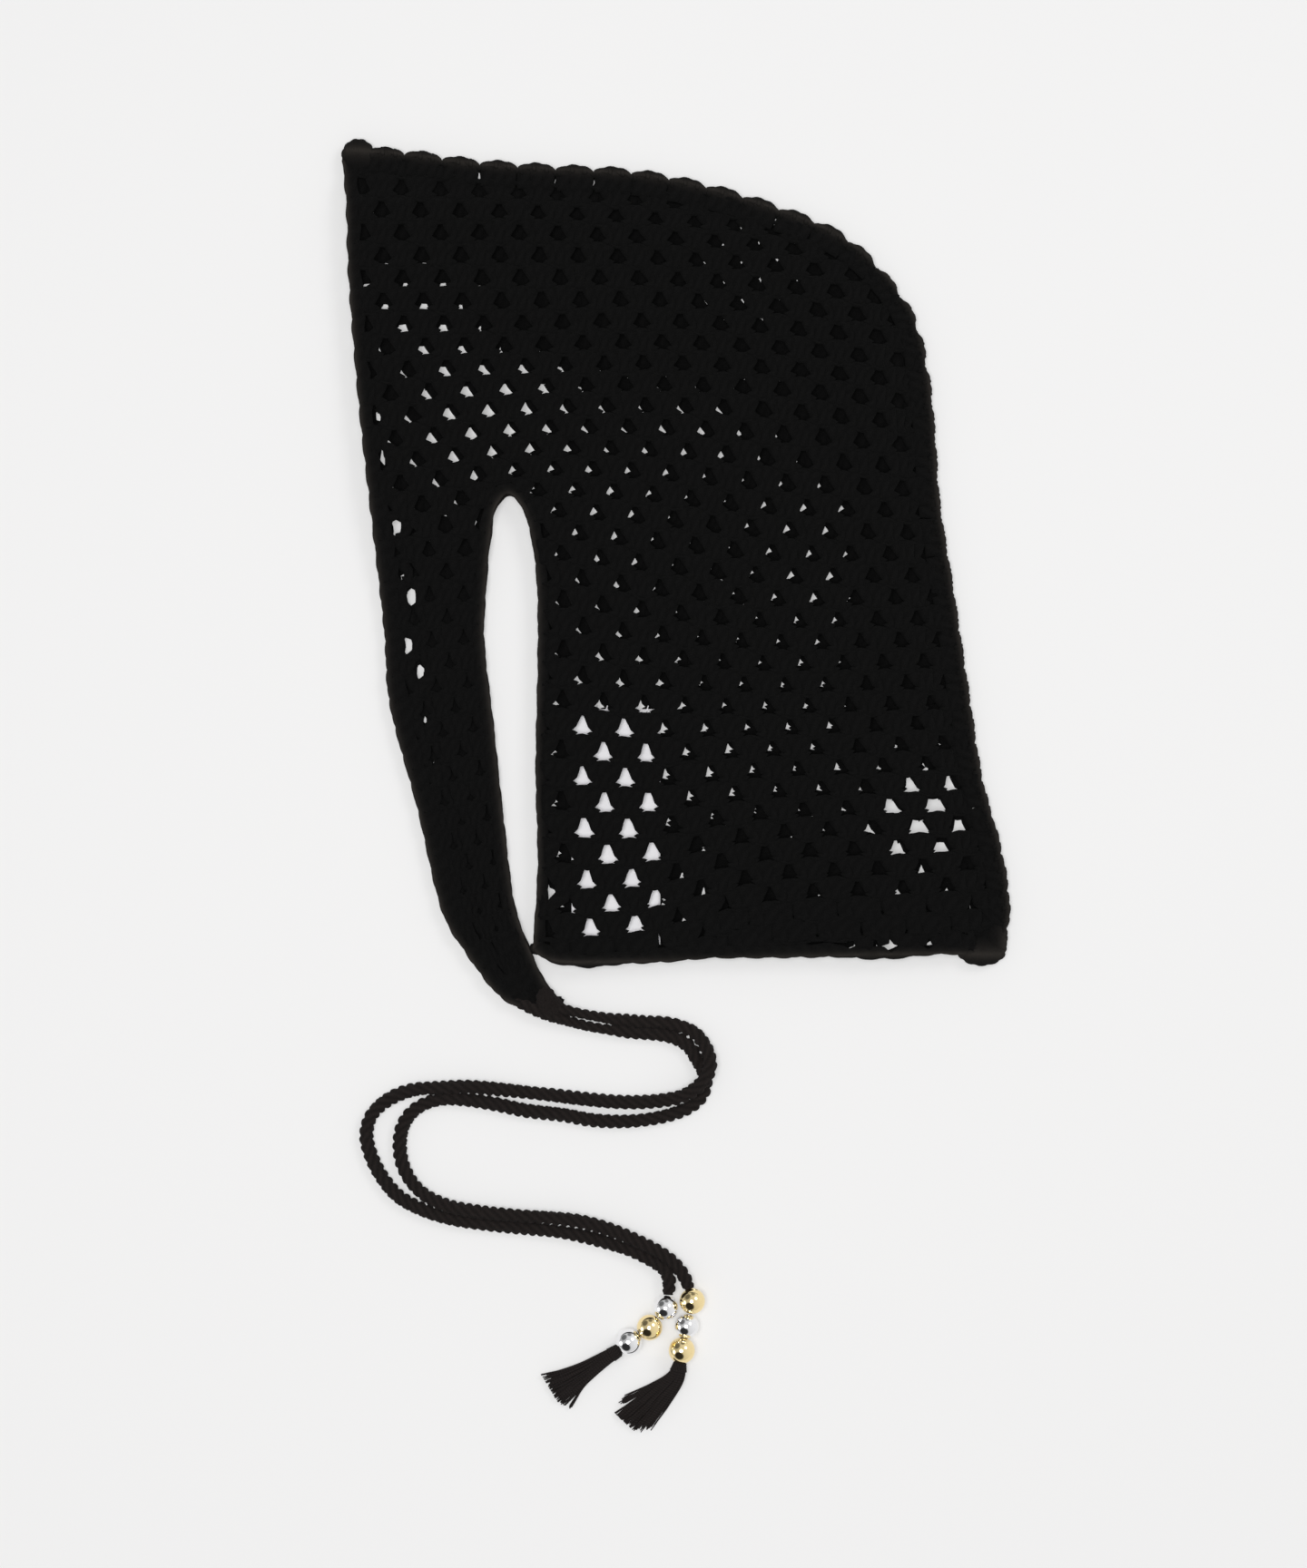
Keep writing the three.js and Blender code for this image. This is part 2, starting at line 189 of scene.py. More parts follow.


# Yarn: plies wind round it as slanted lines, sin(turns round * plies + way along / lay), under fine fluff.
# Its colour follows the same height: painted shade in the grooves between plies, and random tone from the
# fluff.
# It glows faintly, painted light that lifts its darkest shade, and it is painted paler along the hood's
# edges.
def yarnMaterial(name, look):
    # The faint emission is painted light that lifts the yarn's darkest shade
    material, nodes, shader = newMaterial(name, {
        "Roughness": look["roughness"], "Specular IOR Level": look["gloss"],
        "Sheen Weight": look["fluff"], "Sheen Roughness": 0.6,
        "Emission Color": (*look["shadowLiftGlowColour"], 1), "Emission Strength": look["shadowLiftGlow"]})
    weave = addNode(nodes, "ShaderNodeUVMap", uv_map="weave")
    parts = addNode(nodes, "ShaderNodeSeparateXYZ", {0: weave.outputs["UV"]})
    turns = addNode(nodes, "ShaderNodeMath", {0: parts.outputs["X"], 1: 2 * np.pi * look["plies"]},
                    operation="MULTIPLY")
    way = addNode(nodes, "ShaderNodeMath", {0: parts.outputs["Y"], 1: 2 * np.pi / look["lay"]},
                  operation="MULTIPLY")
    phase = addNode(nodes, "ShaderNodeMath", {0: turns.outputs[0], 1: way.outputs[0]}, operation="ADD")
    plies = addNode(nodes, "ShaderNodeMath", {0: phase.outputs[0]}, operation="SINE")
    where = addNode(nodes, "ShaderNodeTexCoord")
    fluff = addNode(nodes, "ShaderNodeTexNoise", {"Vector": where.outputs["Object"], "Scale": look["grain"],
                                                  "Detail": 3.0, "Roughness": 0.65})
    height = addNode(nodes, "ShaderNodeMath", {0: plies.outputs[0], 1: look["plyShare"],
                                               2: fluff.outputs["Fac"]}, operation="MULTIPLY_ADD")
    bump = addNode(nodes, "ShaderNodeBump", {"Strength": look["bump"], "Distance": 0.0006,
                                             "Height": height.outputs[0]})
    # Colour from the bump's height: painted shade in the ply grooves, and random tone from the fluff
    shade = addNode(nodes, "ShaderNodeValToRGB", {"Fac": height.outputs[0]})
    for stop, at, tone in zip(shade.color_ramp.elements, (0.2, 0.9), (look["deep"], look["pale"])):
        stop.position = at
        stop.color = (*tone, 1)
    # Painted edge light: the edge mask adds a warm, paler colour along the hood's edges
    rim = addNode(nodes, "ShaderNodeAttribute", attribute_name="rim")
    paintedEdgeLight = addNode(nodes, "ShaderNodeVectorMath", {0: look["rim"], "Scale": rim.outputs["Fac"]},
                    operation="SCALE")
    total = addNode(nodes, "ShaderNodeVectorMath", {0: shade.outputs["Color"], 1: paintedEdgeLight.outputs[0]},
                    operation="ADD")
    setInputs(shader, {"Base Color": total.outputs[0], "Normal": bump.outputs["Normal"]})
    return material


# Polished metal, with soft smudges that dull it a little
def metalMaterial(name, look):
    material, nodes, shader = newMaterial(name, {"Metallic": 1.0, "Base Color": (*look["colour"], 1)})
    where = addNode(nodes, "ShaderNodeTexCoord")
    smudge = addNode(nodes, "ShaderNodeTexNoise", {"Vector": where.outputs["Object"], "Scale": 260.0,
                                                   "Detail": 2.0})
    spread = addNode(nodes, "ShaderNodeMapRange", {"Value": smudge.outputs["Fac"], 3: look["polish"],
                                                   4: look["dull"]})
    setInputs(shader, {"Roughness": spread.outputs["Result"]})
    return material


# Satin: fine threads crossed both ways, waves along the object's x and along its y, under a soft gloss.
# It glows a little: painted light that lifts the shade it lies in between the hood's two sides.
def satinMaterial(name, look):
    # The emission is painted light, a glow that lifts the label's shade
    material, nodes, shader = newMaterial(name, {
        "Base Color": (*look["colour"], 1), "Roughness": look["roughness"], "Sheen Weight": 0.2,
        "Emission Color": (*look["colour"], 1), "Emission Strength": look["glow"]})
    where = addNode(nodes, "ShaderNodeTexCoord").outputs["Object"]
    warp, weft = (addNode(nodes, "ShaderNodeTexWave",
                          {"Vector": where, "Scale": scale, "Distortion": 0.4, "Detail": 1.0},
                          bands_direction=way) for way, scale in (("X", 700.0), ("Y", 500.0)))
    both = addNode(nodes, "ShaderNodeMath", {0: warp.outputs["Fac"], 1: weft.outputs["Fac"]},
                   operation="ADD")
    bump = addNode(nodes, "ShaderNodeBump", {"Strength": 0.25, "Distance": 0.0002,
                                             "Height": both.outputs[0]})
    setInputs(shader, {"Normal": bump.outputs["Normal"]})
    return material


# Yarn looks: deep to pale is painted shade in the ply grooves mixed with random tone; the faint glow is
# painted light that lifts the darkest shade; rim is the colour of painted edge light
looks = {
    "blackYarn": {"deep": (0.0021, 0.0021, 0.0021), "pale": (0.0058, 0.0057, 0.0056), "roughness": 0.95,
                  "gloss": 0.05, "fluff": 0.008, "plies": 3, "lay": 7.0, "grain": 1500.0, "plyShare": 0.1,
                  "bump": 0.6, "shadowLiftGlow": 0.0008, "shadowLiftGlowColour": (1, 1, 1), "rim": (0.026, 0.0225, 0.0195)},
    "cordYarn": {"deep": (0.0052, 0.0042, 0.0039), "pale": (0.0170, 0.0132, 0.0122), "roughness": 0.9,
                 "gloss": 0.1, "fluff": 0.015, "plies": 5, "lay": 5.0, "grain": 1700.0, "plyShare": 0.2,
                 "bump": 0.7, "shadowLiftGlow": 0.0022, "shadowLiftGlowColour": (1, 0.78, 0.72), "rim": (0, 0, 0)},
    "tasselThread": {"deep": (0.0060, 0.0046, 0.0043), "pale": (0.0200, 0.0152, 0.0142), "roughness": 0.85,
                     "gloss": 0.12, "fluff": 0.02, "plies": 2, "lay": 1.2, "grain": 2600.0, "plyShare": 0.3,
                     "bump": 0.5, "shadowLiftGlow": 0.0022, "shadowLiftGlowColour": (1, 0.8, 0.75), "rim": (0, 0, 0)},
    "gold": {"colour": (0.95, 0.77, 0.41), "polish": 0.03, "dull": 0.07},
    "silver": {"colour": (0.90, 0.90, 0.91), "polish": 0.03, "dull": 0.07},
    "satin": {"colour": (0.985, 0.975, 1.0), "roughness": 0.42, "glow": 0.09},
}
finishes = {
    "black_yarn": yarnMaterial("blackYarn", looks["blackYarn"]),
    "cord_yarn": yarnMaterial("cordYarn", looks["cordYarn"]),
    "tassel_thread": yarnMaterial("tasselThread", looks["tasselThread"]),
    "gold_metal": metalMaterial("paleGold", looks["gold"]),
    "silver_metal": metalMaterial("brightSilver", looks["silver"]),
    "label_satin": satinMaterial("labelSatin", looks["satin"]),
}
print("six finishes are ready")

# The camera looks straight down. The photo's middle lies at a known place on the hood's own plan.
photo = {"wide": 1440, "high": 1728, "originX": 745, "originY": 635, "mmPerPixel": 0.42}
lens = {"focal": 85.0, "film": 36.0, "focusHeight": 5.0}


def placeCamera():
    data = bpy.data.cameras.new("photoCamera")
    data.lens = lens["focal"]
    data.sensor_width = lens["film"]
    tall = photo["high"] * photo["mmPerPixel"]
    away = tall * lens["focal"] / lens["film"] + lens["focusHeight"]
    x = (photo["wide"] / 2 - photo["originX"]) * photo["mmPerPixel"]
    y = (photo["originY"] - photo["high"] / 2) * photo["mmPerPixel"]
    data.clip_start, data.clip_end = 0.05, 20
    camera = bpy.data.objects.new("photoCamera", data)
    camera.location = (x * mm, y * mm, away * mm)
    bpy.context.scene.collection.objects.link(camera)
    bpy.context.scene.camera = camera


placeCamera()

# Soft studio light: a bright room, with one broad lamp above and one to the upper right. The floor glows a
# little too, as a light table does, so that shadows stay faint and small holes bright.
studio = {
    "room": 0.36,
    "roomColour": (1.0, 1.0, 1.0),
    "lamps": [
        {"name": "overheadLamp", "x": -0.25, "y": -0.15, "z": 2.6, "size": 1.3, "watts": 39.2},
        {"name": "cornerLamp", "x": 1.5, "y": 1.0, "z": 1.9, "size": 1.1, "watts": 11.5},
    ],
    "mirrored": {"level": 0.66, "slope": (0.22, 0.06, 0.0)},
    "spots": [
        {"axis": (-0.36, -0.66, 0.66), "inner": 0.87, "outer": 0.76, "level": 0.05},
        {"axis": (-0.62, 0.66, 0.42), "inner": 0.95, "outer": 0.87, "level": 0.25},
        {"axis": (-0.94, -0.15, 0.30), "inner": 0.985, "outer": 0.955, "level": 7.0},
        {"axis": (0.10, 0.95, 0.25), "inner": 0.97, "outer": 0.93, "level": 0.3},
    ],
    "floorSize": 7.0,
    "floorColour": (0.575, 0.573, 0.572),
    "floorGlow": {"colour": (1.0, 0.997, 0.994), "level": 0.31},
}


def aimAt(item, target):
    away = np.array(item.location) - np.array(target)
    flat = np.hypot(away[0], away[1])
    item.rotation_euler = (np.arctan2(flat, away[2]), 0, np.arctan2(away[0], -away[1]))


def lightStudio():
    for lamp in studio["lamps"]:
        data = bpy.data.lights.new(lamp["name"], "AREA")
        data.shape = "DISK"
        data.size = lamp["size"]
        data.energy = lamp["watts"]
        item = bpy.data.objects.new(lamp["name"], data)
        item.location = (lamp["x"], lamp["y"], lamp["z"])
        aimAt(item, (0, -0.05, 0))
        bpy.context.scene.collection.objects.link(item)
    world = bpy.data.worlds.new("studioRoom")
    bpy.context.scene.world = world
    world.use_nodes = True
    nodes = world.node_tree.nodes
    # Polished balls mirror more of the room than lights the cloth. Its level there is level + slope . way,
    # times each spot's level inside that spot's cone: dark patches of the room, and bright soft boxes.
    way = addNode(nodes, "ShaderNodeTexCoord").outputs["Generated"]
    lean = addNode(nodes, "ShaderNodeVectorMath", {0: way, 1: studio["mirrored"]["slope"]},
                   operation="DOT_PRODUCT")
    seen = addNode(nodes, "ShaderNodeMath", {0: lean.outputs["Value"], 1: studio["mirrored"]["level"]},
                   operation="ADD")
    for spot in studio["spots"]:
        near = addNode(nodes, "ShaderNodeVectorMath", {0: way, 1: spot["axis"]}, operation="DOT_PRODUCT")
        ramp = addNode(nodes, "ShaderNodeMapRange", {"Value": near.outputs["Value"], 1: spot["outer"],
                                                     2: spot["inner"], 3: 1.0, 4: spot["level"]})
        seen = addNode(nodes, "ShaderNodeMath", {0: seen.outputs[0], 1: ramp.outputs["Result"]},
                       operation="MULTIPLY")
    ray = addNode(nodes, "ShaderNodeLightPath")
    level = addNode(nodes, "ShaderNodeMapRange", {"Value": ray.outputs["Is Glossy Ray"], 1: 0.0, 2: 1.0,
                                                  3: studio["room"], 4: seen.outputs[0]})
    setInputs(nodes["Background"], {"Color": (*studio["roomColour"], 1),
                                    "Strength": level.outputs["Result"]})


def layFloor():
    half = studio["floorSize"] / 2
    mesh = bpy.data.meshes.new("paleFloor")
    mesh.from_pydata([(-half, -half, 0), (half, -half, 0), (half, half, 0), (-half, half, 0)], [],
                     [(0, 1, 2, 3)])
    mesh.materials.append(newMaterial("palePaper", {
        "Base Color": (*studio["floorColour"], 1), "Roughness": 0.9, "Specular IOR Level": 0.1,
        "Emission Color": (*studio["floorGlow"]["colour"], 1),
        "Emission Strength": studio["floorGlow"]["level"]})[0])
    floor = bpy.data.objects.new("paleFloor", mesh)
    bpy.context.scene.collection.objects.link(floor)


lightStudio()
layFloor()
bpy.context.scene.view_settings.view_transform = "Standard"
print("camera, lamps and floor are set")

# The two tie cords: the same routes as their solids, lying side by side in an S from the strap's tip.
# The left one's first stretch rides over the right one, and both rise to the balls' bores.
cordRoutes = {
    "left": [
        (-63, -196.5, 3.4), (-53.5, -200, 4.6), (-44, -202.5, 4), (-35, -204.2, 3.2), (-25.5, -205.7, 2.6),
        (-14.5, -206.7, 2.5), (-5, -207, 2.5), (2, -208.5, 2.5), (8.5, -211.5, 3), (12.5, -216, 4.1),
        (15, -221.5, 5.7), (15.5, -227, 7.2), (13.5, -232, 8), (9.5, -236.5, 7.5), (3, -240.5, 6.1),
        (-5.5, -242.5, 4.5), (-15.5, -243.5, 3.2), (-27.5, -243.5, 2.5), (-44, -242, 2.5),
        (-61.5, -239.9, 2.5),
        (-94.5, -236.6, 3.6), (-107, -236.8, 3.6), (-122, -238, 2.6), (-133.5, -242.5, 2.5),
        (-141, -249.5, 2.5), (-143.5, -258.5, 2.5), (-141.5, -268, 2.5), (-136.5, -278, 2.5),
        (-129, -287, 2.5), (-118.5, -293, 2.5), (-105, -297.4, 2.5), (-88, -300, 2.5),
        (-71, -301.8, 2.5), (-54.5, -303.6, 2.5), (-40, -306.4, 2.5), (-26.5, -310.4, 2.5),
        (-16, -314.4, 2.5), (-5.6, -320.8, 3.2), (-3.4, -325.5, 4.4), (-3.6, -332.5, 5.7),
    ],
    "right": [
        (-74, -196, 3.2), (-65, -200.4, 4.7), (-54, -204.6, 3.8), (-44, -207.7, 2.6), (-35, -209.5, 2.5),
        (-23, -210.9, 2.5), (-5.5, -212.5, 2.5), (1, -214.5, 2.5), (6, -218, 2.5), (9.5, -223.5, 2.5),
        (12.5, -229, 2.5), (13.5, -234.5, 2.5), (12, -240, 2.5), (8, -244.5, 2.5), (1.5, -248, 2.5),
        (-9.5, -251, 2.5),
        (-23, -252.5, 2.5), (-38, -252, 2.5), (-52.5, -249.5, 2.5), (-69.5, -247.5, 2.5),
        (-84, -244.5, 2.5), (-96.5, -242.5, 2.5), (-107, -242, 2.5), (-115.5, -244, 2.5),
        (-122, -248, 2.5), (-126.5, -254.5, 2.5), (-128, -262.5, 2.5), (-127, -271.5, 2.5),
        (-123, -280, 2.5), (-116.5, -286.5, 3), (-106, -291.5, 4), (-92.5, -294.2, 4.4),
        (-75.5, -296, 4.2), (-59, -297, 4.4), (-44, -298.8, 4.6), (-30.5, -302.6, 4.6),
        (-19, -307.4, 4.6), (-8, -313, 4.2), (-1, -318.2, 3.6), (3.2, -323.5, 4.2), (6.2, -329.8, 5.7),
    ],
}
cordMake = {"diameter": 5.8, "across": 6.7, "tall": 5.5, "raise": 0.3, "stitch": 3.9, "step": 0.36,
            "sides": 24, "columns": 4, "core": 0.84, "full": 1.06, "quarterTurn": 70.0,
            "dent": {"deep": 0.22, "half": 0.5, "roam": 0.3}, "roam": {"every": 55, "past": 60},
            "slant": 0.35, "shift": 0.25, "cycle": 2, "round": 0.55,
            "thin": {"by": 0.25, "x": -41.0, "half": 14.0, "above": -214.0},
            "end": {"by": 0.3, "over": 1.6}}


# Slanted stitches in columns side by side, neighbouring columns slanting opposite ways, so that each pair
# makes a row of Vs: phase = way + slant * across, and swell = cos(across)^round * |sin(pi * phase)|^0.5
def slantedStitches(cell, way, make):
    number = np.floor(cell).astype(int)
    across = 2 * (cell - number) - 1
    lean = np.where(number % 2 == 0, 1, -1) * make["slant"]
    phase = way + lean * across + make["shift"] * (number % make["cycle"])
    return phase, np.cos(across * np.pi / 2) ** make["round"] * np.abs(np.sin(np.pi * phase)) ** 0.5


# A crocheted cord: a tube whose radius is core + swell of its four columns of slanted stitches. It twists
# slowly, and its two sides are dented by turns between the stitches. It starts thinner, just past the strap,
# and narrows into the first ball.
def crochetCord(side):
    path = smoothLine(cordRoutes[side], cordMake["step"]) + [0, 0, cordMake["raise"]]
    far = distanceAlong(path)[:, None]
    angle = ringAngles(cordMake["sides"])[None]
    marks = np.arange(0, far[-1, 0] + cordMake["roam"]["past"], cordMake["roam"]["every"])
    roam = np.interp(far, marks, chance.uniform(-1, 1, len(marks)))
    turned = angle + np.pi / 2 * far / cordMake["quarterTurn"] + roam
    cell = turned / (2 * np.pi) * cordMake["columns"]
    swell = slantedStitches(cell, far / cordMake["stitch"], cordMake)[1]
    radius = cordMake["core"] + (cordMake["full"] - cordMake["core"]) * swell
    radius = radius * (1 - cordMake["end"]["by"] * np.exp(-(far[-1] - far) / cordMake["end"]["over"]))
    dent = cordMake["dent"]
    beat = np.sin(np.pi * (far / cordMake["stitch"] + 0.5 * (np.cos(angle) > 0) + dent["roam"] * roam))
    wide = cordMake["across"] / 2 * (1 - dent["deep"] * np.exp(-(beat / dent["half"]) ** 2))
    thin = cordMake["thin"]
    early = np.exp(-((path[:, :1] - thin["x"]) / thin["half"]) ** 4) * (path[:, 1:2] > thin["above"])
    wide = wide * (1 - thin["by"] * early)
    patch = sweep(path[None], (wide * radius * np.cos(angle))[None],
                  (cordMake["tall"] / 2 * radius * np.sin(angle))[None])
    return makePiece("tieCord" + side.capitalize(), [patch], "cord_yarn", "tie_cord_" + side), path


# Polished balls on the strings, each at its x and y with its size and its metal
ballMake = {"bore": 3.0, "sides": 56, "arcSteps": 30, "rim": 0.45}
ballPlaces = {
    "left": [(-4.8, -338.6, 11.4, "silver"), (-12.3, -347.6, 11.9, "gold"), (-22, -354.2, 12.1, "silver")],
    "right": [(7.4, -335.4, 11.9, "gold"), (4.8, -347, 11.4, "silver"), (2.6, -358.2, 12.2, "gold")],
}


# Ball surface: a profile (radius, height), a circle's arc with rounded rims at the bore, turned through a
# full circle round the string; the inner wall closes the bore
def stringBall(side, number, place, towards):
    x, y, size, metal = place
    radius, bore = size / 2, ballMake["bore"] / 2
    start = np.arcsin((bore + ballMake["rim"]) / radius)
    arc = np.linspace(start, np.pi - start, ballMake["arcSteps"])
    outer = np.stack([radius * np.sin(arc), -radius * np.cos(arc)], 1)
    end = outer[-1]
    bend = np.linspace(0, np.pi / 2, 5)[1:]
    rimTop = end - ballMake["rim"] * np.stack([np.sin(bend), 1 - np.cos(bend)], 1)
    rimLow = rimTop[::-1] * [1, -1]
    profile = np.concatenate([outer, rimTop, rimLow])
    turn = ringAngles(ballMake["sides"])
    heading = np.array([towards[0] - x, towards[1] - y])
    heading = heading / np.linalg.norm(heading)
    beside = np.array([heading[1], -heading[0]])
    ringAcross = profile[:, None, 0] * np.cos(turn)
    ringUp = profile[:, None, 0] * np.sin(turn)
    points = np.stack([
        x + heading[0] * profile[:, None, 1] + beside[0] * ringAcross,
        y + heading[1] * profile[:, None, 1] + beside[1] * ringAcross,
        radius + ringUp,
    ], -1)
    rings, sides = points.shape[:2]
    corner = np.arange(rings * sides).reshape(rings, sides)
    onward, beyond = np.roll(corner, -1, axis=0), np.roll(corner, -1, axis=1)
    both = np.roll(onward, -1, axis=1)
    quads = np.stack([corner, onward, both, beyond], -1).reshape(-1, 4)
    uv = np.zeros((len(quads), 4, 2))
    name = "ball" + side.capitalize() + str(number)
    patch = {"points": points.reshape(-1, 3), "faces": [(quads, uv)]}
    return makePiece(name, [patch], metal + "_metal", "bead_" + side + "_" + str(number))


# Tassels: threads that start bound together under the last ball and fan out to uneven ends. Each spine has
# its x, y, z, half width and half height.
tasselSpines = {
    "left": [(-26.3, -358, 5.6, 2.7, 2.3), (-34, -363, 4.4, 3.6, 2.6), (-42.3, -368.8, 2.8, 5, 2.5),
             (-50.3, -374, 2.1, 7.3, 2), (-57.6, -378.4, 1.7, 9.4, 1.6)],
    "right": [(2, -363.4, 5.4, 2.5, 2.2), (0, -370.6, 4.4, 4.3, 2.6), (-7, -379, 2.8, 6.6, 2.5),
              (-14.2, -386.8, 2.1, 8.6, 2), (-21.6, -394.4, 1.7, 10.2, 1.6)],
}
tasselMake = {"threads": 240, "thick": 0.6, "sides": 6, "rings": 18, "cut": {"left": 0.02, "right": 0.17},
              "disc": 0.94, "uneven": 0.18, "clump": 0.03, "edge": 0.86, "wave": 0.05, "curl": 0.25,
              "thinner": 0.25,
              "binding": {"turns": 6, "steps": 22, "from": 0.4, "long": 4.2, "thick": 0.38, "proud": 1.02}}
# Loose groups beside each bundle: how many threads, where they end across it, how far they spread, where
# they part from it and how far they reach
tasselStrays = {"left": [(14, -1.24, 0.06, 0.55, 0.9), (3, 1.04, 0.04, 0.35, 1.03)],
                "right": [(2, 1.42, 0.03, 0.15, 0.8), (3, 1.3, 0.02, 0.2, 0.82), (3, 1.18, 0.02, 0.25, 0.88),
                          (4, 1.06, 0.02, 0.3, 0.86)]}


# Each thread keeps its own place (a, b) in the bundle's disc: spine + a * half width across + b * half
# height up, with a slow wave that grows towards the free end. Past its parting a loose group leans from a
# to its goal.
def threadTassel(side):
    rows = np.array(tasselSpines[side], float)
    spine = smoothLine(rows, 0.5)
    part = distanceAlong(spine[:, :3])
    part = part / part[-1]
    count, rings = tasselMake["threads"], tasselMake["rings"]
    disc = np.sqrt(chance.uniform(0, 1, count)) * tasselMake["disc"]
    way = chance.uniform(0, 2 * np.pi, count)
    a, b = disc * np.cos(way), disc * np.sin(way)
    clump = np.sin(9 * a + 4 * b + 2.0) + np.sin(23 * a + 1.0)
    reach = 1.0 - tasselMake["uneven"] * chance.uniform(0, 1, count) ** 1.6
    reach = reach + tasselMake["clump"] * clump + tasselMake["cut"][side] * a
    parting, goal, first = np.ones(count), a.copy(), 0
    for size, end, spread, leaving, far in tasselStrays[side]:
        group = slice(first, first + size)
        goal[group] = end + chance.uniform(-spread, spread, size)
        a[group], b[group] = tasselMake["edge"] * np.sign(end), chance.uniform(-0.4, 0.4, size)
        parting[group], reach[group] = leaving, far + chance.uniform(-0.03, 0.02, size)
        first += size
    t = np.linspace(0, 1, rings)[None] * reach[:, None]
    read = [np.interp(t, part, spine[:, k]) for k in range(5)]
    ahead = headings(spine)
    aheadX, aheadY = np.interp(t, part, ahead[:, 0]), np.interp(t, part, ahead[:, 1])
    lean = a[:, None] + (goal - a)[:, None] * smoothStep(parting[:, None] - 1e-6, 1.0, t)
    wave = np.sin(t * chance.uniform(4, 9, (count, 1)) + chance.uniform(0, 6.3, (count, 1)))
    lean = lean + tasselMake["wave"] * wave * t
    x = read[0] + aheadY * lean * read[3]
    y = read[1] - aheadX * lean * read[3]
    z = read[2] + b[:, None] * read[4] + tasselMake["curl"] * np.cos(7 * t + way[:, None]) * t
    low = tasselMake["thick"] / 2 + 0.05
    paths = np.stack([x, y, np.maximum(z, low)], -1)
    angle = ringAngles(tasselMake["sides"])
    radius = tasselMake["thick"] / 2 * (1 - tasselMake["thinner"] * (t / reach[:, None]) ** 6)
    across = radius[..., None] * np.cos(angle)
    up = radius[..., None] * np.sin(angle)
    patches = [sweep(paths, across, up), tasselBinding(spine)]
    return makePiece("tassel" + side.capitalize(), patches, "tassel_thread", "tassel_" + side)


# The binding: one thread wound round the bundle's head, spine + helix of the head's own oval
def tasselBinding(spine):
    make = tasselMake["binding"]
    far = distanceAlong(spine[:, :3])
    way = np.linspace(0, 1, make["turns"] * make["steps"])
    at = make["from"] + way * make["long"]
    centre = np.stack([np.interp(at, far, spine[:, k]) for k in range(5)], 1)
    ahead = spine[8, :2] - spine[0, :2]
    ahead = ahead / np.linalg.norm(ahead)
    angle = 2 * np.pi * make["turns"] * way
    wide, tall = centre[:, 3] * make["proud"], centre[:, 4] * make["proud"]
    path = np.stack([centre[:, 0] + ahead[1] * wide * np.cos(angle),
                     centre[:, 1] - ahead[0] * wide * np.cos(angle),
                     centre[:, 2] + tall * np.sin(angle)], -1)
    across, up = make["thick"] * np.cos(ringAngles(6)), make["thick"] * np.sin(ringAngles(6))
    return sweep(path[None], across[None, None], up[None, None])


def stringTheCords():
    for side in ("left", "right"):
        cord, path = crochetCord(side)
        places = ballPlaces[side]
        tip = tasselSpines[side][0]
        onward = places[1:] + [tip]
        balls = [stringBall(side, k + 1, places[k], onward[k]) for k in range(len(places))]
        tassel = threadTassel(side)


stringTheCords()
print("cords, balls and tassels are strung")

# The hood's plan, edge by edge, clockwise, and the heights of its two sides, as its solids have them
hood = {"wall": 3.0, "hollow": 5.4, "pinch": 0.6, "riseFrom": 5.0, "riseTo": 26.0, "strapX": -70.0,
        "strapBlend": 14.0, "strapTop": 48.0, "strapLow": -22.0, "tip": (-177, -190)}
crease = {"line": [(-126, 22), (-118, -32), (-109, -90), (-98, -135), (-85, -178)],
          "half": 3.4, "depth": 1.3}
hoodEdges = {
    "crown": [(-152, 197), (-128, 195.5), (-94.5, 191), (-61, 188.5), (-19, 186), (14.5, 179.5),
              (48.5, 169), (77.5, 156.5), (96.5, 140.5), (110.5, 119.5), (116.5, 94.5), (119.5, 65),
              (121.5, 35.5), (128, -6.5), (135.5, -56.5), (141.5, -94.5), (150.5, -128), (154, -153.5),
              (151.5, -175)],
    "hem": [(151.5, -175), (120, -174.5), (65, -175.5), (-19, -178), (-59, -177), (-66, -172.5)],
    "notch": [(-66, -172.5), (-64.5, -153.5), (-63.5, -132.5), (-64.5, -90.5), (-63.5, -36), (-64, -2),
              (-67, 20), (-71.5, 33), (-77.5, 38), (-83, 33), (-86.5, 16), (-88.5, -6.5), (-89.5, -27.5),
              (-85, -69.5), (-80.5, -111.5), (-75, -153.5), (-70, -168), (-61, -188), (-54, -196.5)],
    "face": [(-54, -203.5), (-71.5, -199.5), (-81, -194.5), (-98.5, -172), (-107, -157.5),
             (-119.5, -107), (-132.5, -57), (-134.5, -27.5), (-140.5, 27.5), (-146, 77.5), (-151, 140.5),
             (-152, 172), (-154, 192.5)],
}
edgeLines = {name: smoothLine(points, 1.2) for name, points in hoodEdges.items()}
outline = np.concatenate([edgeLines[name] for name in ("crown", "hem", "notch", "face")])


def nearest(line, places):
    found = []
    for block in np.array_split(places, len(places) // 3000 + 1):
        gaps = np.linalg.norm(block[:, None] - line[None], axis=2)
        best = gaps.argmin(1)
        found.append(np.concatenate([gaps.min(1)[:, None], line[best]], 1))
    found = np.concatenate(found)
    return found[:, 0], found[:, 1:]


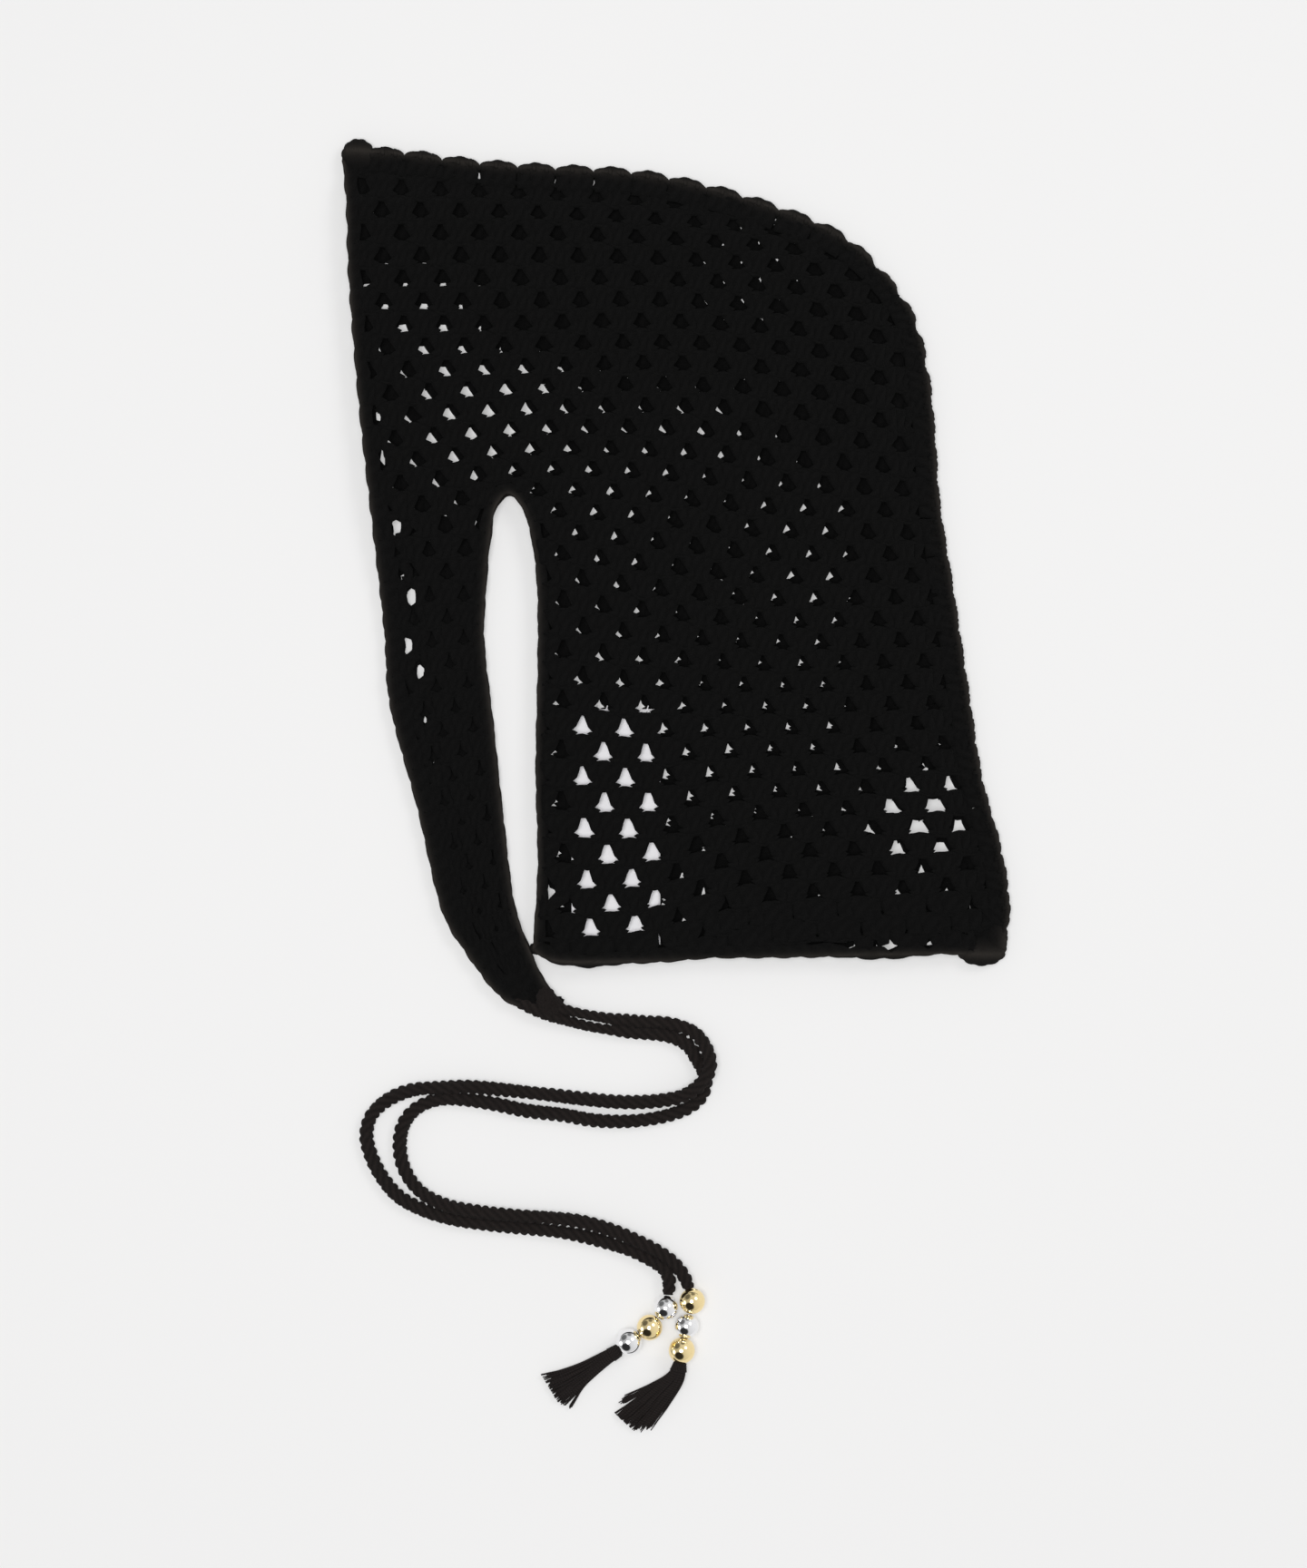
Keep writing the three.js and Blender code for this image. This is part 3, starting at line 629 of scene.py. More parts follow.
# Even-odd rule: a place is inside when a level line to its right crosses the outline an odd number of times
def insideOutline(places):
    start, end = outline, np.roll(outline, -1, axis=0)
    rise = np.where(end[:, 1] == start[:, 1], 1e-9, end[:, 1] - start[:, 1])
    answers = []
    for block in np.array_split(places, len(places) // 3000 + 1):
        x, y = block[:, :1], block[:, 1:]
        spans = (start[:, 1] > y) != (end[:, 1] > y)
        crossing = start[:, 0] + (y - start[:, 1]) / rise * (end[:, 0] - start[:, 0])
        answers.append((spans & (x < crossing)).sum(1) % 2 == 1)
    return np.concatenate(answers)


# How deep each place lies inside the outline, and the places moved in until they lie at least this deep
def heldInside(places, depth):
    flat = places.reshape(-1, 2)
    gap, foot = nearest(outline, flat)
    sign = np.where(insideOutline(flat), 1.0, -1.0)
    inward = (flat - foot) * (sign / np.maximum(gap, 1e-6))[:, None]
    moved = np.where((gap * sign < depth)[:, None], foot + inward * depth, flat)
    return (gap * sign).reshape(places.shape[:-1]), moved.reshape(places.shape)


# Clear height between the two sides: little at the seam, down the strap and at its tip, full in the crown
def clearHeight(places):
    flat = places.reshape(-1, 2)
    seamGap = nearest(edgeLines["crown"], flat)[0].reshape(places.shape[:-1])
    x, y = places[..., 0], places[..., 1]
    open = smoothStep(hood["riseFrom"], hood["riseTo"], seamGap)
    onStrap = 1 - smoothStep(hood["strapX"], hood["strapX"] + hood["strapBlend"], x)
    down = 1 - smoothStep(hood["strapLow"], hood["strapTop"], y)
    onTip = smoothStep(*hood["tip"], y)
    return hood["pinch"] + (hood["hollow"] - hood["pinch"]) * open * (1 - onStrap * down) * (1 - onTip)


# The near side has a soft crease down the strap
def middleHeight(places, side):
    if side == "lower":
        return np.full(places.shape[:-1], hood["wall"] / 2)
    gap = nearest(smoothLine(crease["line"], 1.5), places.reshape(-1, 2))[0].reshape(places.shape[:-1])
    dip = crease["depth"] * np.exp(-(gap / crease["half"]) ** 2)
    return hood["wall"] * 1.5 + clearHeight(places) - dip


# The open crochet hangs on a chart of its rows: where each row's middle hole lies, how far apart its holes
# are, and how high the row runs at five places across. Holes stand in every second half step.
rowChart = {
    "row": [-5, -1, 3, 7, 11, 15, 19, 23, 27, 31],
    "middle": [7.2, 9.0, 11.2, 13.2, 16.4, 20.0, 22.6, 26.3, 30.8, 34.0],
    "pitch": [17.9, 18.1, 18.2, 18.0, 17.8, 18.0, 18.7, 19.9, 20.5, 20.6],
    "x": [-130, -65, -20, 40, 100],
    "height": [
        [200, 195, 191, 183, 172], [157.5, 157.5, 156, 152, 145], [115.5, 116, 117, 114.5, 109],
        [73, 77, 78, 76, 70.5], [31, 39, 37.5, 31.5, 29.5], [-12, 0, -5, -11, -10.5],
        [-54, -46, -48.5, -51, -50], [-98, -92.5, -94, -90.5, -88], [-146, -141, -140.5, -129, -126],
        [-190, -187, -182, -167, -163],
    ],
}
# Down the strap the rows turn with it, and its columns draw together: its middle line and half width
strapChart = {
    "line": [(-112, 60, 19.5), (-112, 34, 19.5), (-110, 20, 18.5), (-109, -27, 16), (-104, -70, 15),
             (-97, -107, 13), (-87.5, -157, 10.5), (-81, -172, 8.5), (-71, -188, 5.5), (-58, -200, 2.5)],
    "column": 11, "firstRow": 9.5, "lastRow": 13.0, "rowHeight": 10.4, "startAt": 27.5, "half": 19.0,
    "fromX": -90.0, "toX": -76.0,
}
# The far side has slipped against the near one, so floor shows only where their holes meet
slipChart = {
    "x": [-150, -110, -70, -30, 20, 70, 120],
    "y": [-175, -140, -100, -50, -10, 30, 60, 95, 130, 185],
    "slipX": [
        [-5, -5, -7, -5, -8, -8, -1], [-5, -5, -7, -5, -8, -9, 0.5],
        [-5, -5, -7.5, -5, -3.5, -4.5, 1], [1, -5, -8.5, -4, -4.8, -3.9, -7],
        [0, -5, -9, -5.5, -7, -3.7, -8], [-10, -6, -7, -4.6, -6.4, -4.7, -7.6],
        [-15, -3.8, -3.3, -5, -4.6, -8, -9], [-14, -3.2, -2.2, -3.4, -4.6, -8.5, -9],
        [0, 0, -1.5, -2.5, -5, -8.5, -9], [0, 0, -1, -1.5, -3, -8, -9],
    ],
    "slipY": [
        [-5, -5, 0, 3, 4, 5, -7], [-5, -5, 2, 3, 3.6, 3.4, -3.6], [-5, -5, 0, 3, 2.2, 2.2, -1],
        [0, -5, 0, -0.2, 3, 2.4, 4], [1, -5, 0, 0.9, 4.2, 2.2, 0.5], [0, -5, 2, 3, 4, 2.6, 3],
        [2, -1.2, 0.8, 0.5, 1.6, 2, 1.5], [-2, -2, -1.2, -4.6, -3, -1, 0.5],
        [-4.3, -4, -6.6, -8, -6.5, -1, 0], [-9.8, -10, -10, -9.5, -8.5, -1, 0],
    ],
}


# What share each station of a chart has in a place between them: cubic Hermite, slopes from neighbours
def chartShares(stations, at, straightOn=True):
    stations = np.asarray(stations, float)
    table = np.eye(len(stations))
    slopes = np.gradient(table, stations, axis=0)
    held = np.clip(at, stations[0], stations[-1])
    k = np.clip(np.searchsorted(stations, held) - 1, 0, len(stations) - 2)
    step = (stations[k + 1] - stations[k])[:, None]
    t = (held - stations[k])[:, None] / step
    shares = (2 * t**3 - 3 * t**2 + 1) * table[k] + (t**3 - 2 * t**2 + t) * step * slopes[k]
    shares = shares + (3 * t**2 - 2 * t**3) * table[k + 1] + (t**3 - t**2) * step * slopes[k + 1]
    if straightOn:
        ends = np.where((at < held)[:, None], slopes[0], slopes[-1])
        shares = shares + (at - held)[:, None] * ends
    return shares


# Plan place of a chart place: column and row may lie between stitches
def stitchPlace(column, row):
    shape = np.broadcast(column, row).shape
    column, row = (np.broadcast_to(v, shape).ravel().astype(float) for v in (column, row))
    shares = chartShares(rowChart["row"], row)
    x = shares @ np.array(rowChart["middle"]) + column * (shares @ np.array(rowChart["pitch"])) / 2
    acrossShares = chartShares(rowChart["x"], np.clip(x, -155, 145))
    y = np.einsum("nr,ns,rs->n", shares, acrossShares, np.array(rowChart["height"], float))
    k = rowChart["row"].index(strapChart["column"])
    columnX = rowChart["middle"][k] + column * rowChart["pitch"][k] / 2
    line = smoothLine(strapChart["line"], 1.0)
    far = distanceAlong(line[:, :2])
    at = strapChart["startAt"] + (row - strapChart["column"]) * strapChart["rowHeight"]
    centre = [np.interp(at, far, line[:, m]) for m in range(3)]
    ahead = np.gradient(line[:, :2], axis=0)
    aheadX, aheadY = np.interp(at, far, ahead[:, 0]), np.interp(at, far, ahead[:, 1])
    size = np.hypot(aheadX, aheadY)
    off = (columnX - strapChart["line"][0][0]) * centre[2] / strapChart["half"]
    past = np.maximum(at - far[-1], 0)
    strapX = centre[0] - aheadY / size * off + aheadX / size * past
    strapY = centre[1] + aheadX / size * off + aheadY / size * past
    share = smoothStep(strapChart["firstRow"], strapChart["lastRow"], row)
    share = share * (1 - smoothStep(strapChart["fromX"], strapChart["toX"], columnX))
    return np.stack([x + (strapX - x) * share, y + (strapY - y) * share], -1).reshape(*shape, 2)


def slipOf(places):
    flat = places.reshape(-1, 2)
    inX = chartShares(slipChart["x"], flat[:, 0], straightOn=False)
    inY = chartShares(slipChart["y"], flat[:, 1], straightOn=False)
    charts = [np.array(slipChart[key], float) for key in ("slipX", "slipY")]
    slip = [np.einsum("nr,ns,rs->n", inY, inX, chart) for chart in charts]
    return np.stack(slip, -1).reshape(places.shape)


def sidePlace(column, row, side):
    places = stitchPlace(column, row)
    return places + slipOf(places) if side == "lower" else places


# A cluster is three posts worked into one gap of the row below. Its width along the way up leaves holes
# between neighbours: bells toward the neck, diamonds in the crown. Row lines lie this far above the holes'
# middles, in rows.
cluster = {"way": [0.0, 0.1, 0.22, 0.34, 0.5, 0.76, 1.0],
           "bell": [17.2, 14.2, 10.6, 11.4, 14.9, 17.0, 19.2],
           "diamond": [17.4, 14.8, 12.0, 10.7, 12.0, 15.4, 17.8], "diamondFrom": (-70, 30),
           "atPitch": 20.3, "squeeze": 0.5, "widest": 1.03, "lineAbove": 0.58, "reachOut": 6.0,
           "sides": 8, "thick": 2.5, "overlap": 1.26, "lobe": 0.06, "lobeTurn": 5.0, "wander": 0.22,
           "stretch": 0.02, "depth": 2.9, "shortest": 0.45, "past": 0.2, "least": 1.0,
           "dome": 0.4, "sideDome": -0.55, "rough": 0.05, "arch": 0.07}
chain = {"step": 0.2, "wide": 2.0, "thick": 2.5, "sides": 8, "lobe": 0.2, "lobeEvery": 12.0, "depth": 2.2,
         "inside": 1.2, "ringStep": 1.9, "fewest": 4, "arch": 0.06}
columns, rows = np.arange(-22, 19), np.arange(-8, 37)
# Gaps stand open beside the front and notch bands and over the hem, in both sides: x, y, half width and
# half height of each. The chains stop a little beside them.
frontGaps = [
    (-138.2, 74.3, 0.9, 4.0), (-136, 55, 0.9, 4.4), (-129.4, 22.7, 2.2, 5.2), (-126.8, 0.4, 0.9, 3.0),
    (-122.6, -9.2, 2.1, 5.6), (-124.3, -31.9, 1.9, 6.0), (-118.4, -44.1, 1.6, 5.6),
    (-116.3, -67.2, 0.6, 2.6), (-112.1, -86.9, 0.5, 2.2), (-57.5, -146.6, 1.3, 4.4),
    (80.6, -169.6, 2.6, 1.6), (98.7, -169.3, 2.7, 3.2), (116.8, -169.0, 2.8, 1.7),
]
gapMargin = 0.8
# Where clusters are drawn together. Both sides are at the hem's end, and both open in a patch at its corner.
# The far side is in the crown, along the back, over the hem and down the strap, less so in one row of the
# back. The near side is in the hem row that the far hem lies behind, and is looser in the back of the crown.
# A pair is where a share starts and where it is full.
drawn = {"by": 0.44, "hemEnd": (-168, -164), "patch": (120, -112), "patchSize": 20, "patchOpen": 0.5,
         "crown": (92, 108), "crownSide": (-98, -80), "back": (80, 93), "hem": (-134, -118),
         "hemFrom": (5, 15), "hemTo": (72, 84), "strap": (12, 28), "strapX": -70, "patchReach": (16, 28),
         "looseRow": {"y": -145, "half": 6, "by": 0.4, "from": (72, 82)},
         "nearHem": {"y": -160, "half": 10.5, "share": 0.5, "from": (4, 18)},
         "looseCrown": {"by": 0.15, "from": (15, 55), "above": (60, 100)}}


def drawnTogether(places, side):
    x, y = places[..., 0], places[..., 1]
    fromPatch = np.hypot(x - drawn["patch"][0], y - drawn["patch"][1])
    always = 1 - smoothStep(*drawn["hemEnd"], y)
    always = always - drawn["patchOpen"] * np.exp(-(fromPatch / drawn["patchSize"]) ** 2)
    if side == "upper":
        row, loose = drawn["nearHem"], drawn["looseCrown"]
        inRow = np.exp(-((y - row["y"]) / row["half"]) ** 4) * smoothStep(*row["from"], x)
        inCrown = smoothStep(*loose["from"], x) * smoothStep(*loose["above"], y)
        return always - loose["by"] * inCrown + row["share"] / drawn["by"] * inRow
    crown = smoothStep(*drawn["crown"], y) * smoothStep(*drawn["crownSide"], x)
    back = smoothStep(*drawn["back"], x)
    hem = 1 - smoothStep(*drawn["hem"], y)
    hem = hem * smoothStep(*drawn["hemFrom"], x) * (1 - smoothStep(*drawn["hemTo"], x))
    strap = (x < drawn["strapX"]) * (1 - smoothStep(*drawn["strap"], y))
    share = np.maximum(np.maximum(crown, back), np.maximum(hem, strap))
    row = drawn["looseRow"]
    inRow = np.exp(-((y - row["y"]) / row["half"]) ** 2) * smoothStep(*row["from"], x)
    return share * (1 - row["by"] * inRow) * smoothStep(*drawn["patchReach"], fromPatch) + always


# Posts beside a long gap stand aside: each keeps off the gap's oval by its own half width
def besideGaps(places, post):
    x, y = places[..., 0], places[..., 1]
    for gapX, gapY, halfX, halfY in frontGaps:
        tall = np.clip(1 - ((y - gapY) / halfY) ** 2, 0, None) ** 0.5
        mostly = np.where((x - gapX).mean(-1, keepdims=True) < 0, -1.0, 1.0)
        room = halfX * tall + post / 2 * np.minimum(2 * tall, 1)
        x = gapX + np.where(tall > 0, np.maximum((x - gapX) * mostly, room) * mostly, x - gapX)
    return np.stack([x, y], -1)


def inFrontGap(places):
    x, y = places[..., 0], places[..., 1]
    away = [((x - gapX) / (halfX + gapMargin)) ** 2 + ((y - gapY) / halfY) ** 2
            for gapX, gapY, halfX, halfY in frontGaps]
    return np.min(away, axis=0) < 1


# Posts of one side: column and row charts bent to the cloth, an oval section with two turning lobes. Each
# post is cut to the part of its way that lies inside the outline, and narrows where it runs under a band.
def clusterPosts(side):
    column, row = (v.ravel() for v in np.meshgrid(columns, rows))
    odd = (column + row) % 2 == 1
    column, row = column[odd].astype(float), row[odd].astype(float)
    line = row + 1 - cluster["lineAbove"]
    middle = sidePlace(column, line - 0.5, side)
    near = heldInside(middle, 0)[0] > -cluster["reachOut"]
    column, line, middle = column[near], line[near], middle[near]
    apart = sidePlace(column + 0.5, line - 0.5, side) - sidePlace(column - 0.5, line - 0.5, side)
    pitch = 2 * np.linalg.norm(apart, axis=-1)[:, None]
    widen = (pitch / cluster["atPitch"]) ** cluster["squeeze"]
    diamond = smoothStep(*cluster["diamondFrom"], middle[:, 1])[:, None, None]
    widen = widen * (1 + drawn["by"] * drawnTogether(middle, side)[:, None])
    number = np.array([-1.0, 0.0, 1.0])[None, :, None]
    wander = chance.normal(0, cluster["wander"], (len(column), 3, 1))
    stretch = chance.normal(0, cluster["stretch"], (len(column), 3, 1))
    stretch = stretch + np.where(number == 0, cluster["arch"], 0)

    def placeAt(way):
        width = [np.interp(way, cluster["way"], cluster[form]) for form in ("bell", "diamond")]
        width = (width[0] + (width[1] - width[0]) * diamond) * widen[..., None]
        width = np.minimum(width, pitch[..., None] * cluster["widest"])
        post = width / 3 * cluster["overlap"]
        off = number * (width - post) / 2 + wander * np.sin(np.pi * way)
        at = sidePlace(column[:, None, None] + 2 * off / pitch[..., None],
                       line[:, None, None] - way - stretch * way, side)
        return at, post

    fine = np.linspace(0, 1, 17)
    free = placeAt(np.broadcast_to(fine, (len(column), 3, len(fine))))[0]
    inside = heldInside(free, 0)[0] > cluster["depth"]
    first = fine[inside.argmax(-1)]
    last = fine[::-1][inside[..., ::-1].argmax(-1)]
    keep = (last - first > cluster["shortest"]) & (inside.mean(-1) > cluster["shortest"])
    way = first[..., None] + (last - first)[..., None] * np.array(cluster["way"])
    place, post = placeAt(way)
    lift = cluster["dome"] * np.where(number == 0, 1.0, cluster["sideDome"]) * np.sin(np.pi * way) ** 0.6
    lift = (lift + chance.normal(0, cluster["rough"], (len(column), 3, 1)))[keep]
    place, post, way = besideGaps(place[keep], post[keep]), post[keep], way[keep]
    room = heldInside(place, 0)[0] + cluster["past"]
    post = np.minimum(post, 2 * np.maximum(room, cluster["least"]))
    path = np.concatenate([place, (middleHeight(place, side) + lift)[..., None]], -1)
    angle = ringAngles(cluster["sides"])
    start = chance.uniform(0, 2 * np.pi, (len(path), 1, 1))
    lobes = 1 + cluster["lobe"] * np.cos(2 * angle + start + cluster["lobeTurn"] * way[..., None])
    across = post[..., None] / 2 * np.cos(angle) * lobes
    up = cluster["thick"] / 2 * np.sin(angle) * lobes
    return sweep(path, across, up)


# The chain along each row's top: one tube per run inside the outline, arched over each cluster's middle,
# with two lobes that turn as the chain's loops do
def chainRuns(side):
    patches = []
    fine = np.arange(columns[0], columns[-1], chain["step"])
    angle = ringAngles(chain["sides"])
    for row in rows:
        wave = chain["arch"] * np.cos(np.pi * (fine + row + 1))
        place = sidePlace(fine, row - cluster["lineAbove"] - wave, side)
        depth, place = heldInside(place, chain["depth"])
        within = np.concatenate([[False], (depth > chain["inside"]) & ~inFrontGap(place), [False]])
        change = np.flatnonzero(np.diff(within.astype(int)))
        for first, last in zip(change[::2], change[1::2]):
            if last - first < chain["fewest"]:
                continue
            run = evenSteps(place[first:last], chain["ringStep"])
            if len(run) < chain["fewest"]:
                continue
            height = middleHeight(run, side)
            far = distanceAlong(run)[:, None]
            turn = 2 * angle + 4 * np.pi * far / chain["lobeEvery"] + chance.uniform(0, 6)
            lobes = 1 + chain["lobe"] * np.cos(turn)
            path = np.concatenate([run, height[:, None]], 1)[None]
            across = (chain["wide"] / 2 * np.cos(angle) * lobes)[None]
            patches.append(sweep(path, across, (chain["thick"] / 2 * np.sin(angle) * lobes)[None]))
    return patches


def crochetSide(side):
    name = side.capitalize()
    posts = makePiece("crochetPosts" + name, [clusterPosts(side)], "black_yarn", "side_panel_" + side)
    return posts, makePiece("rowChains" + name, chainRuns(side), "black_yarn")


crochet = {side: crochetSide(side) for side in ("lower", "upper")}
print("both open crochet sides are worked")

# Bands and hem: flat cords along an edge. The section is a flattened oval; its top and underside swell in
# rows of slanted stitches, as on the tie cords, and the whole band bulges outward between ties.
bands = {
    "frontBand": {"node": "front_band", "edge": "face", "width": 8.8, "slim": 2.6, "out": 0.3, "ribs": 3,
                  "stitch": 6.5, "sides": 40, "step": 1.1, "sway": 1.1, "swayEvery": 13.5},
    "notchBand": {"node": "notch_band", "edge": "notch", "width": 5.4, "slim": 0, "out": 0.4, "ribs": 2,
                  "stitch": 5.5, "sides": 28, "step": 1.1, "sway": 0.8, "swayEvery": 17.5},
    "neckHem": {"node": "neck_hem", "edge": "hem", "width": 6.4, "slim": 0, "out": 0.5, "ribs": 3,
                "stitch": 6.0, "sides": 40, "step": 1.1, "sway": 1.1, "swayEvery": 13.0},
}
# The hem bends slowly down and up along x. It is pinched thin under its small gaps: x, by how much and half
# width of each pinch.
hemBends = {"x": [-62, -54, -40, -25, -5, 15, 45, 75, 90, 102, 114, 126, 150],
            "down": [0, 0.8, 2.0, 0.6, 0, -1.3, -0.3, 0.2, 1.6, 1.5, 0.2, -0.4, 0],
            "pinches": [(80.6, 2.0, 3.4), (98.7, 3.0, 3.6), (116.8, 3.0, 4.2)]}
# The strap's tip is gathered under turns of the cords' own yarn, and the hem's end is a small knot: x, y and
# half sizes of each
strapTip = [(-60.4, -195.9, 4.9, 6.4, 4.8), (-58.6, -199.9, 6.4, 4.7, 4.4), (-55.8, -197.8, 3.7, 3.3, 4.7)]
hemTip = [(-64.4, -172.4, 4.0, 3.0, 3.1)]
bandMake = {"flat": 0.62, "core": 0.66, "slimFrom": (30, 62), "side": {"lower": 0.0, "upper": 2.1},
            "slant": 0.4, "shift": 0.37, "cycle": 3, "round": 0.5}


def movedRight(line, distance):
    ahead = headings(line)
    return line[:, :2] + np.stack([ahead[:, 1], -ahead[:, 0]], 1) * np.reshape(distance, (-1, 1))


def edgeBand(name, side):
    make = bands[name]
    line = evenSteps(edgeLines[make["edge"]], make["step"])
    far = distanceAlong(line)
    sway = make["sway"] * (0.5 - np.abs(np.sin(np.pi * far / make["swayEvery"] + bandMake["side"][side])))
    broad = make["width"] - make["slim"] * smoothStep(*bandMake["slimFrom"], line[:, 1])
    if name == "neckHem":
        sway = sway - np.interp(line[:, 0], hemBends["x"], hemBends["down"])
        for middle, by, half in hemBends["pinches"]:
            broad = broad - by * np.exp(-((line[:, 0] - middle) / half) ** 2)
    plan = movedRight(line, broad / 2 - make["out"] + sway)
    path = np.concatenate([plan, middleHeight(plan, side)[:, None]], 1)
    angle = ringAngles(make["sides"])[None]
    c, s = np.cos(angle), np.sin(angle)
    c, s = np.sign(c) * np.abs(c) ** bandMake["flat"], np.sign(s) * np.abs(s) ** bandMake["flat"]
    cell = (c + 1) / 2 * make["ribs"] * 0.9999       # just under the last rib's end
    phase, swell = slantedStitches(cell, far[:, None] / make["stitch"], bandMake)
    tall = hood["wall"] / 2 * s * (bandMake["core"] + (1 - bandMake["core"]) * swell)
    wide = broad[:, None] / 2 * c * (0.95 + 0.05 * np.abs(np.sin(np.pi * phase)))
    patches = [sweep(path[None], wide[None], tall[None])]
    if name == "neckHem" and side == "upper":
        patches += [gatheredKnot(*tip) for tip in hemTip]
    return makePiece(name + side.capitalize(), patches, "black_yarn", make["node"] + "_" + side,
                     paintedLightEdges=(make["edge"],))


knotMake = {"rings": 22, "sides": 44, "cut": 0.04, "deep": 0.14, "down": 2.5, "round": 5.5, "puff": 0.45}


# A gathered knot: an egg shape whose skin swells in slanted folds, its radius times
# 1 - deep + deep * |sin(down * way + round * turn)|^0.6
def gatheredKnot(x, y, halfX, halfY, halfZ=3.4):
    rings, sides = knotMake["rings"], knotMake["sides"]
    way = np.linspace(knotMake["cut"], np.pi - knotMake["cut"], rings)[:, None]
    turn = ringAngles(sides)[None]
    fold = np.abs(np.sin(knotMake["down"] * way + knotMake["round"] * turn)) ** 0.6
    swell = 1 - knotMake["deep"] + knotMake["deep"] * fold
    points = np.stack([x + halfX * np.sin(way) * np.cos(turn) * swell,
                       y + halfY * np.sin(way) * np.sin(turn) * swell,
                       halfZ - halfZ * np.cos(way) * (1 - knotMake["puff"] + knotMake["puff"] * swell)], -1)
    corner = np.arange(rings * sides).reshape(rings, sides)
    beside = np.roll(corner, -1, axis=1)
    quads = np.stack([corner[:-1], beside[:-1], beside[1:], corner[1:]], -1).reshape(-1, 4)
    caps = np.stack([corner[0, ::-1], corner[-1]])
    flat = [(quads, np.zeros((len(quads), 4, 2))), (caps, np.zeros((2, sides, 2)))]
    return {"points": points.reshape(-1, 3), "faces": flat}


bandPieces = {side: [edgeBand(name, side) for name in bands] for side in ("lower", "upper")}
makePiece("strapEnd", [gatheredKnot(*tip) for tip in strapTip], "cord_yarn")
print("bands and hem are worked")

# The seam joins both sides along the crown and the back: a scalloped double cord, fans of short posts that
# reach in from it, stitches whipped round its edge, and a gathered knot at each end (x, y and half sizes).
# Its scallops are deep along the crown and shallow down the back, and it stands proud over the crown's top.
seam = {"scallop": 17.6, "dip": 3.0, "calm": 0.3, "scallopFrom": (70, 125), "puff": 2.0,
        "puffFrom": (138, 166), "proud": 0.8, "rope": 3.6, "heights": {"lower": 1.9, "upper": 4.9},
        "step": 1.1, "sides": 12, "lobe": 0.16, "lobeEvery": 5.8,
        "fan": {"depth": 9.8, "tip": 2.0, "foot": 5.2, "top": 5.5, "rough": 0.25, "wide": 6.8, "tall": 2.9,
                "sides": 10, "lobe": 0.09},
        "whip": {"every": 5.87, "thick": 0.9, "flat": 0.6, "swing": 0.62, "in": 0.44, "loose": 1.0,
                 "middle": 3.4, "high": 3.3, "lean": 1.1},
        "knots": [(-147.2, 194.6, 8.0, 8.2, 4.2), (141.4, -173.0, 11.8, 7.6, 4.3),
                  (147.8, -168.0, 5.8, 7.6, 4.2)]}


def seamPlace(far, inset):
    line = edgeLines["crown"]
    way = distanceAlong(line)
    ahead = np.gradient(line, axis=0)
    x, y, dx, dy = (np.interp(far, way, v) for v in (line[:, 0], line[:, 1], ahead[:, 0], ahead[:, 1]))
    size = np.hypot(dx, dy)
    return np.stack([x + dy / size * inset, y - dx / size * inset], -1)


def scallopDip(far):
    height = seamPlace(far, 0)[..., 1]
    deep = seam["calm"] + (1 - seam["calm"]) * smoothStep(*seam["scallopFrom"], height)
    valley = 1 - np.abs(np.cos(np.pi * far / seam["scallop"])) ** 0.7
    return seam["dip"] * deep * valley - seam["puff"] * smoothStep(*seam["puffFrom"], height)


def seamRopes():
    reach = distanceAlong(edgeLines["crown"])[-1]
    far = np.arange(2, reach - 2, seam["step"])
    plan = seamPlace(far, seam["rope"] / 2 - seam["proud"] + scallopDip(far))
    angle = ringAngles(seam["sides"])[None]
    ropes = []
    for side, height in seam["heights"].items():
        path = np.concatenate([plan, np.full((len(plan), 1), height)], 1)
        turn = 2 * angle + 2 * np.pi * far[:, None] / seam["lobeEvery"] * (1 if side == "upper" else -1)
        radius = seam["rope"] / 2 * (0.92 + seam["lobe"] * np.cos(turn))
        ropes.append(sweep(path[None], (radius * np.cos(angle))[None], (radius * np.sin(angle))[None]))
    return ropes


def seamFans():
    fan = seam["fan"]
    reach = distanceAlong(edgeLines["crown"])[-1]
    middle = np.arange(seam["scallop"], reach - 4, seam["scallop"])
    way = np.linspace(0, 1, 6)
    number = np.array([-1.0, 0.0, 1.0])[None, :, None]
    off = number * (fan["foot"] + (fan["top"] - fan["foot"]) * way ** 0.7)
    off = off + chance.normal(0, fan["rough"], (len(middle), 3, 1))
    far = (middle[:, None, None] + off).reshape(-1, len(way))
    inset = (fan["depth"] * (1 - way) + fan["tip"] * way)[None] + scallopDip(far) * way
    plan = seamPlace(far, inset)
    angle = ringAngles(fan["sides"])
    fans = []
    for side in seam["heights"]:
        base = middleHeight(plan, side)
        level = base + (seam["heights"][side] - base) * smoothStep(0.3, 1, way)
        start = chance.uniform(0, 6, (len(plan), 1, 1))
        lobes = 1 + fan["lobe"] * np.cos(2 * angle + start + 4 * way[:, None])
        wide = fan["wide"] / 2 * (0.8 + 0.25 * way)[:, None] * np.cos(angle) * lobes
        tall = fan["tall"] / 2 * np.sin(angle) * lobes
        fans.append(sweep(np.concatenate([plan, level[..., None]], -1), wide, tall))
    return fans


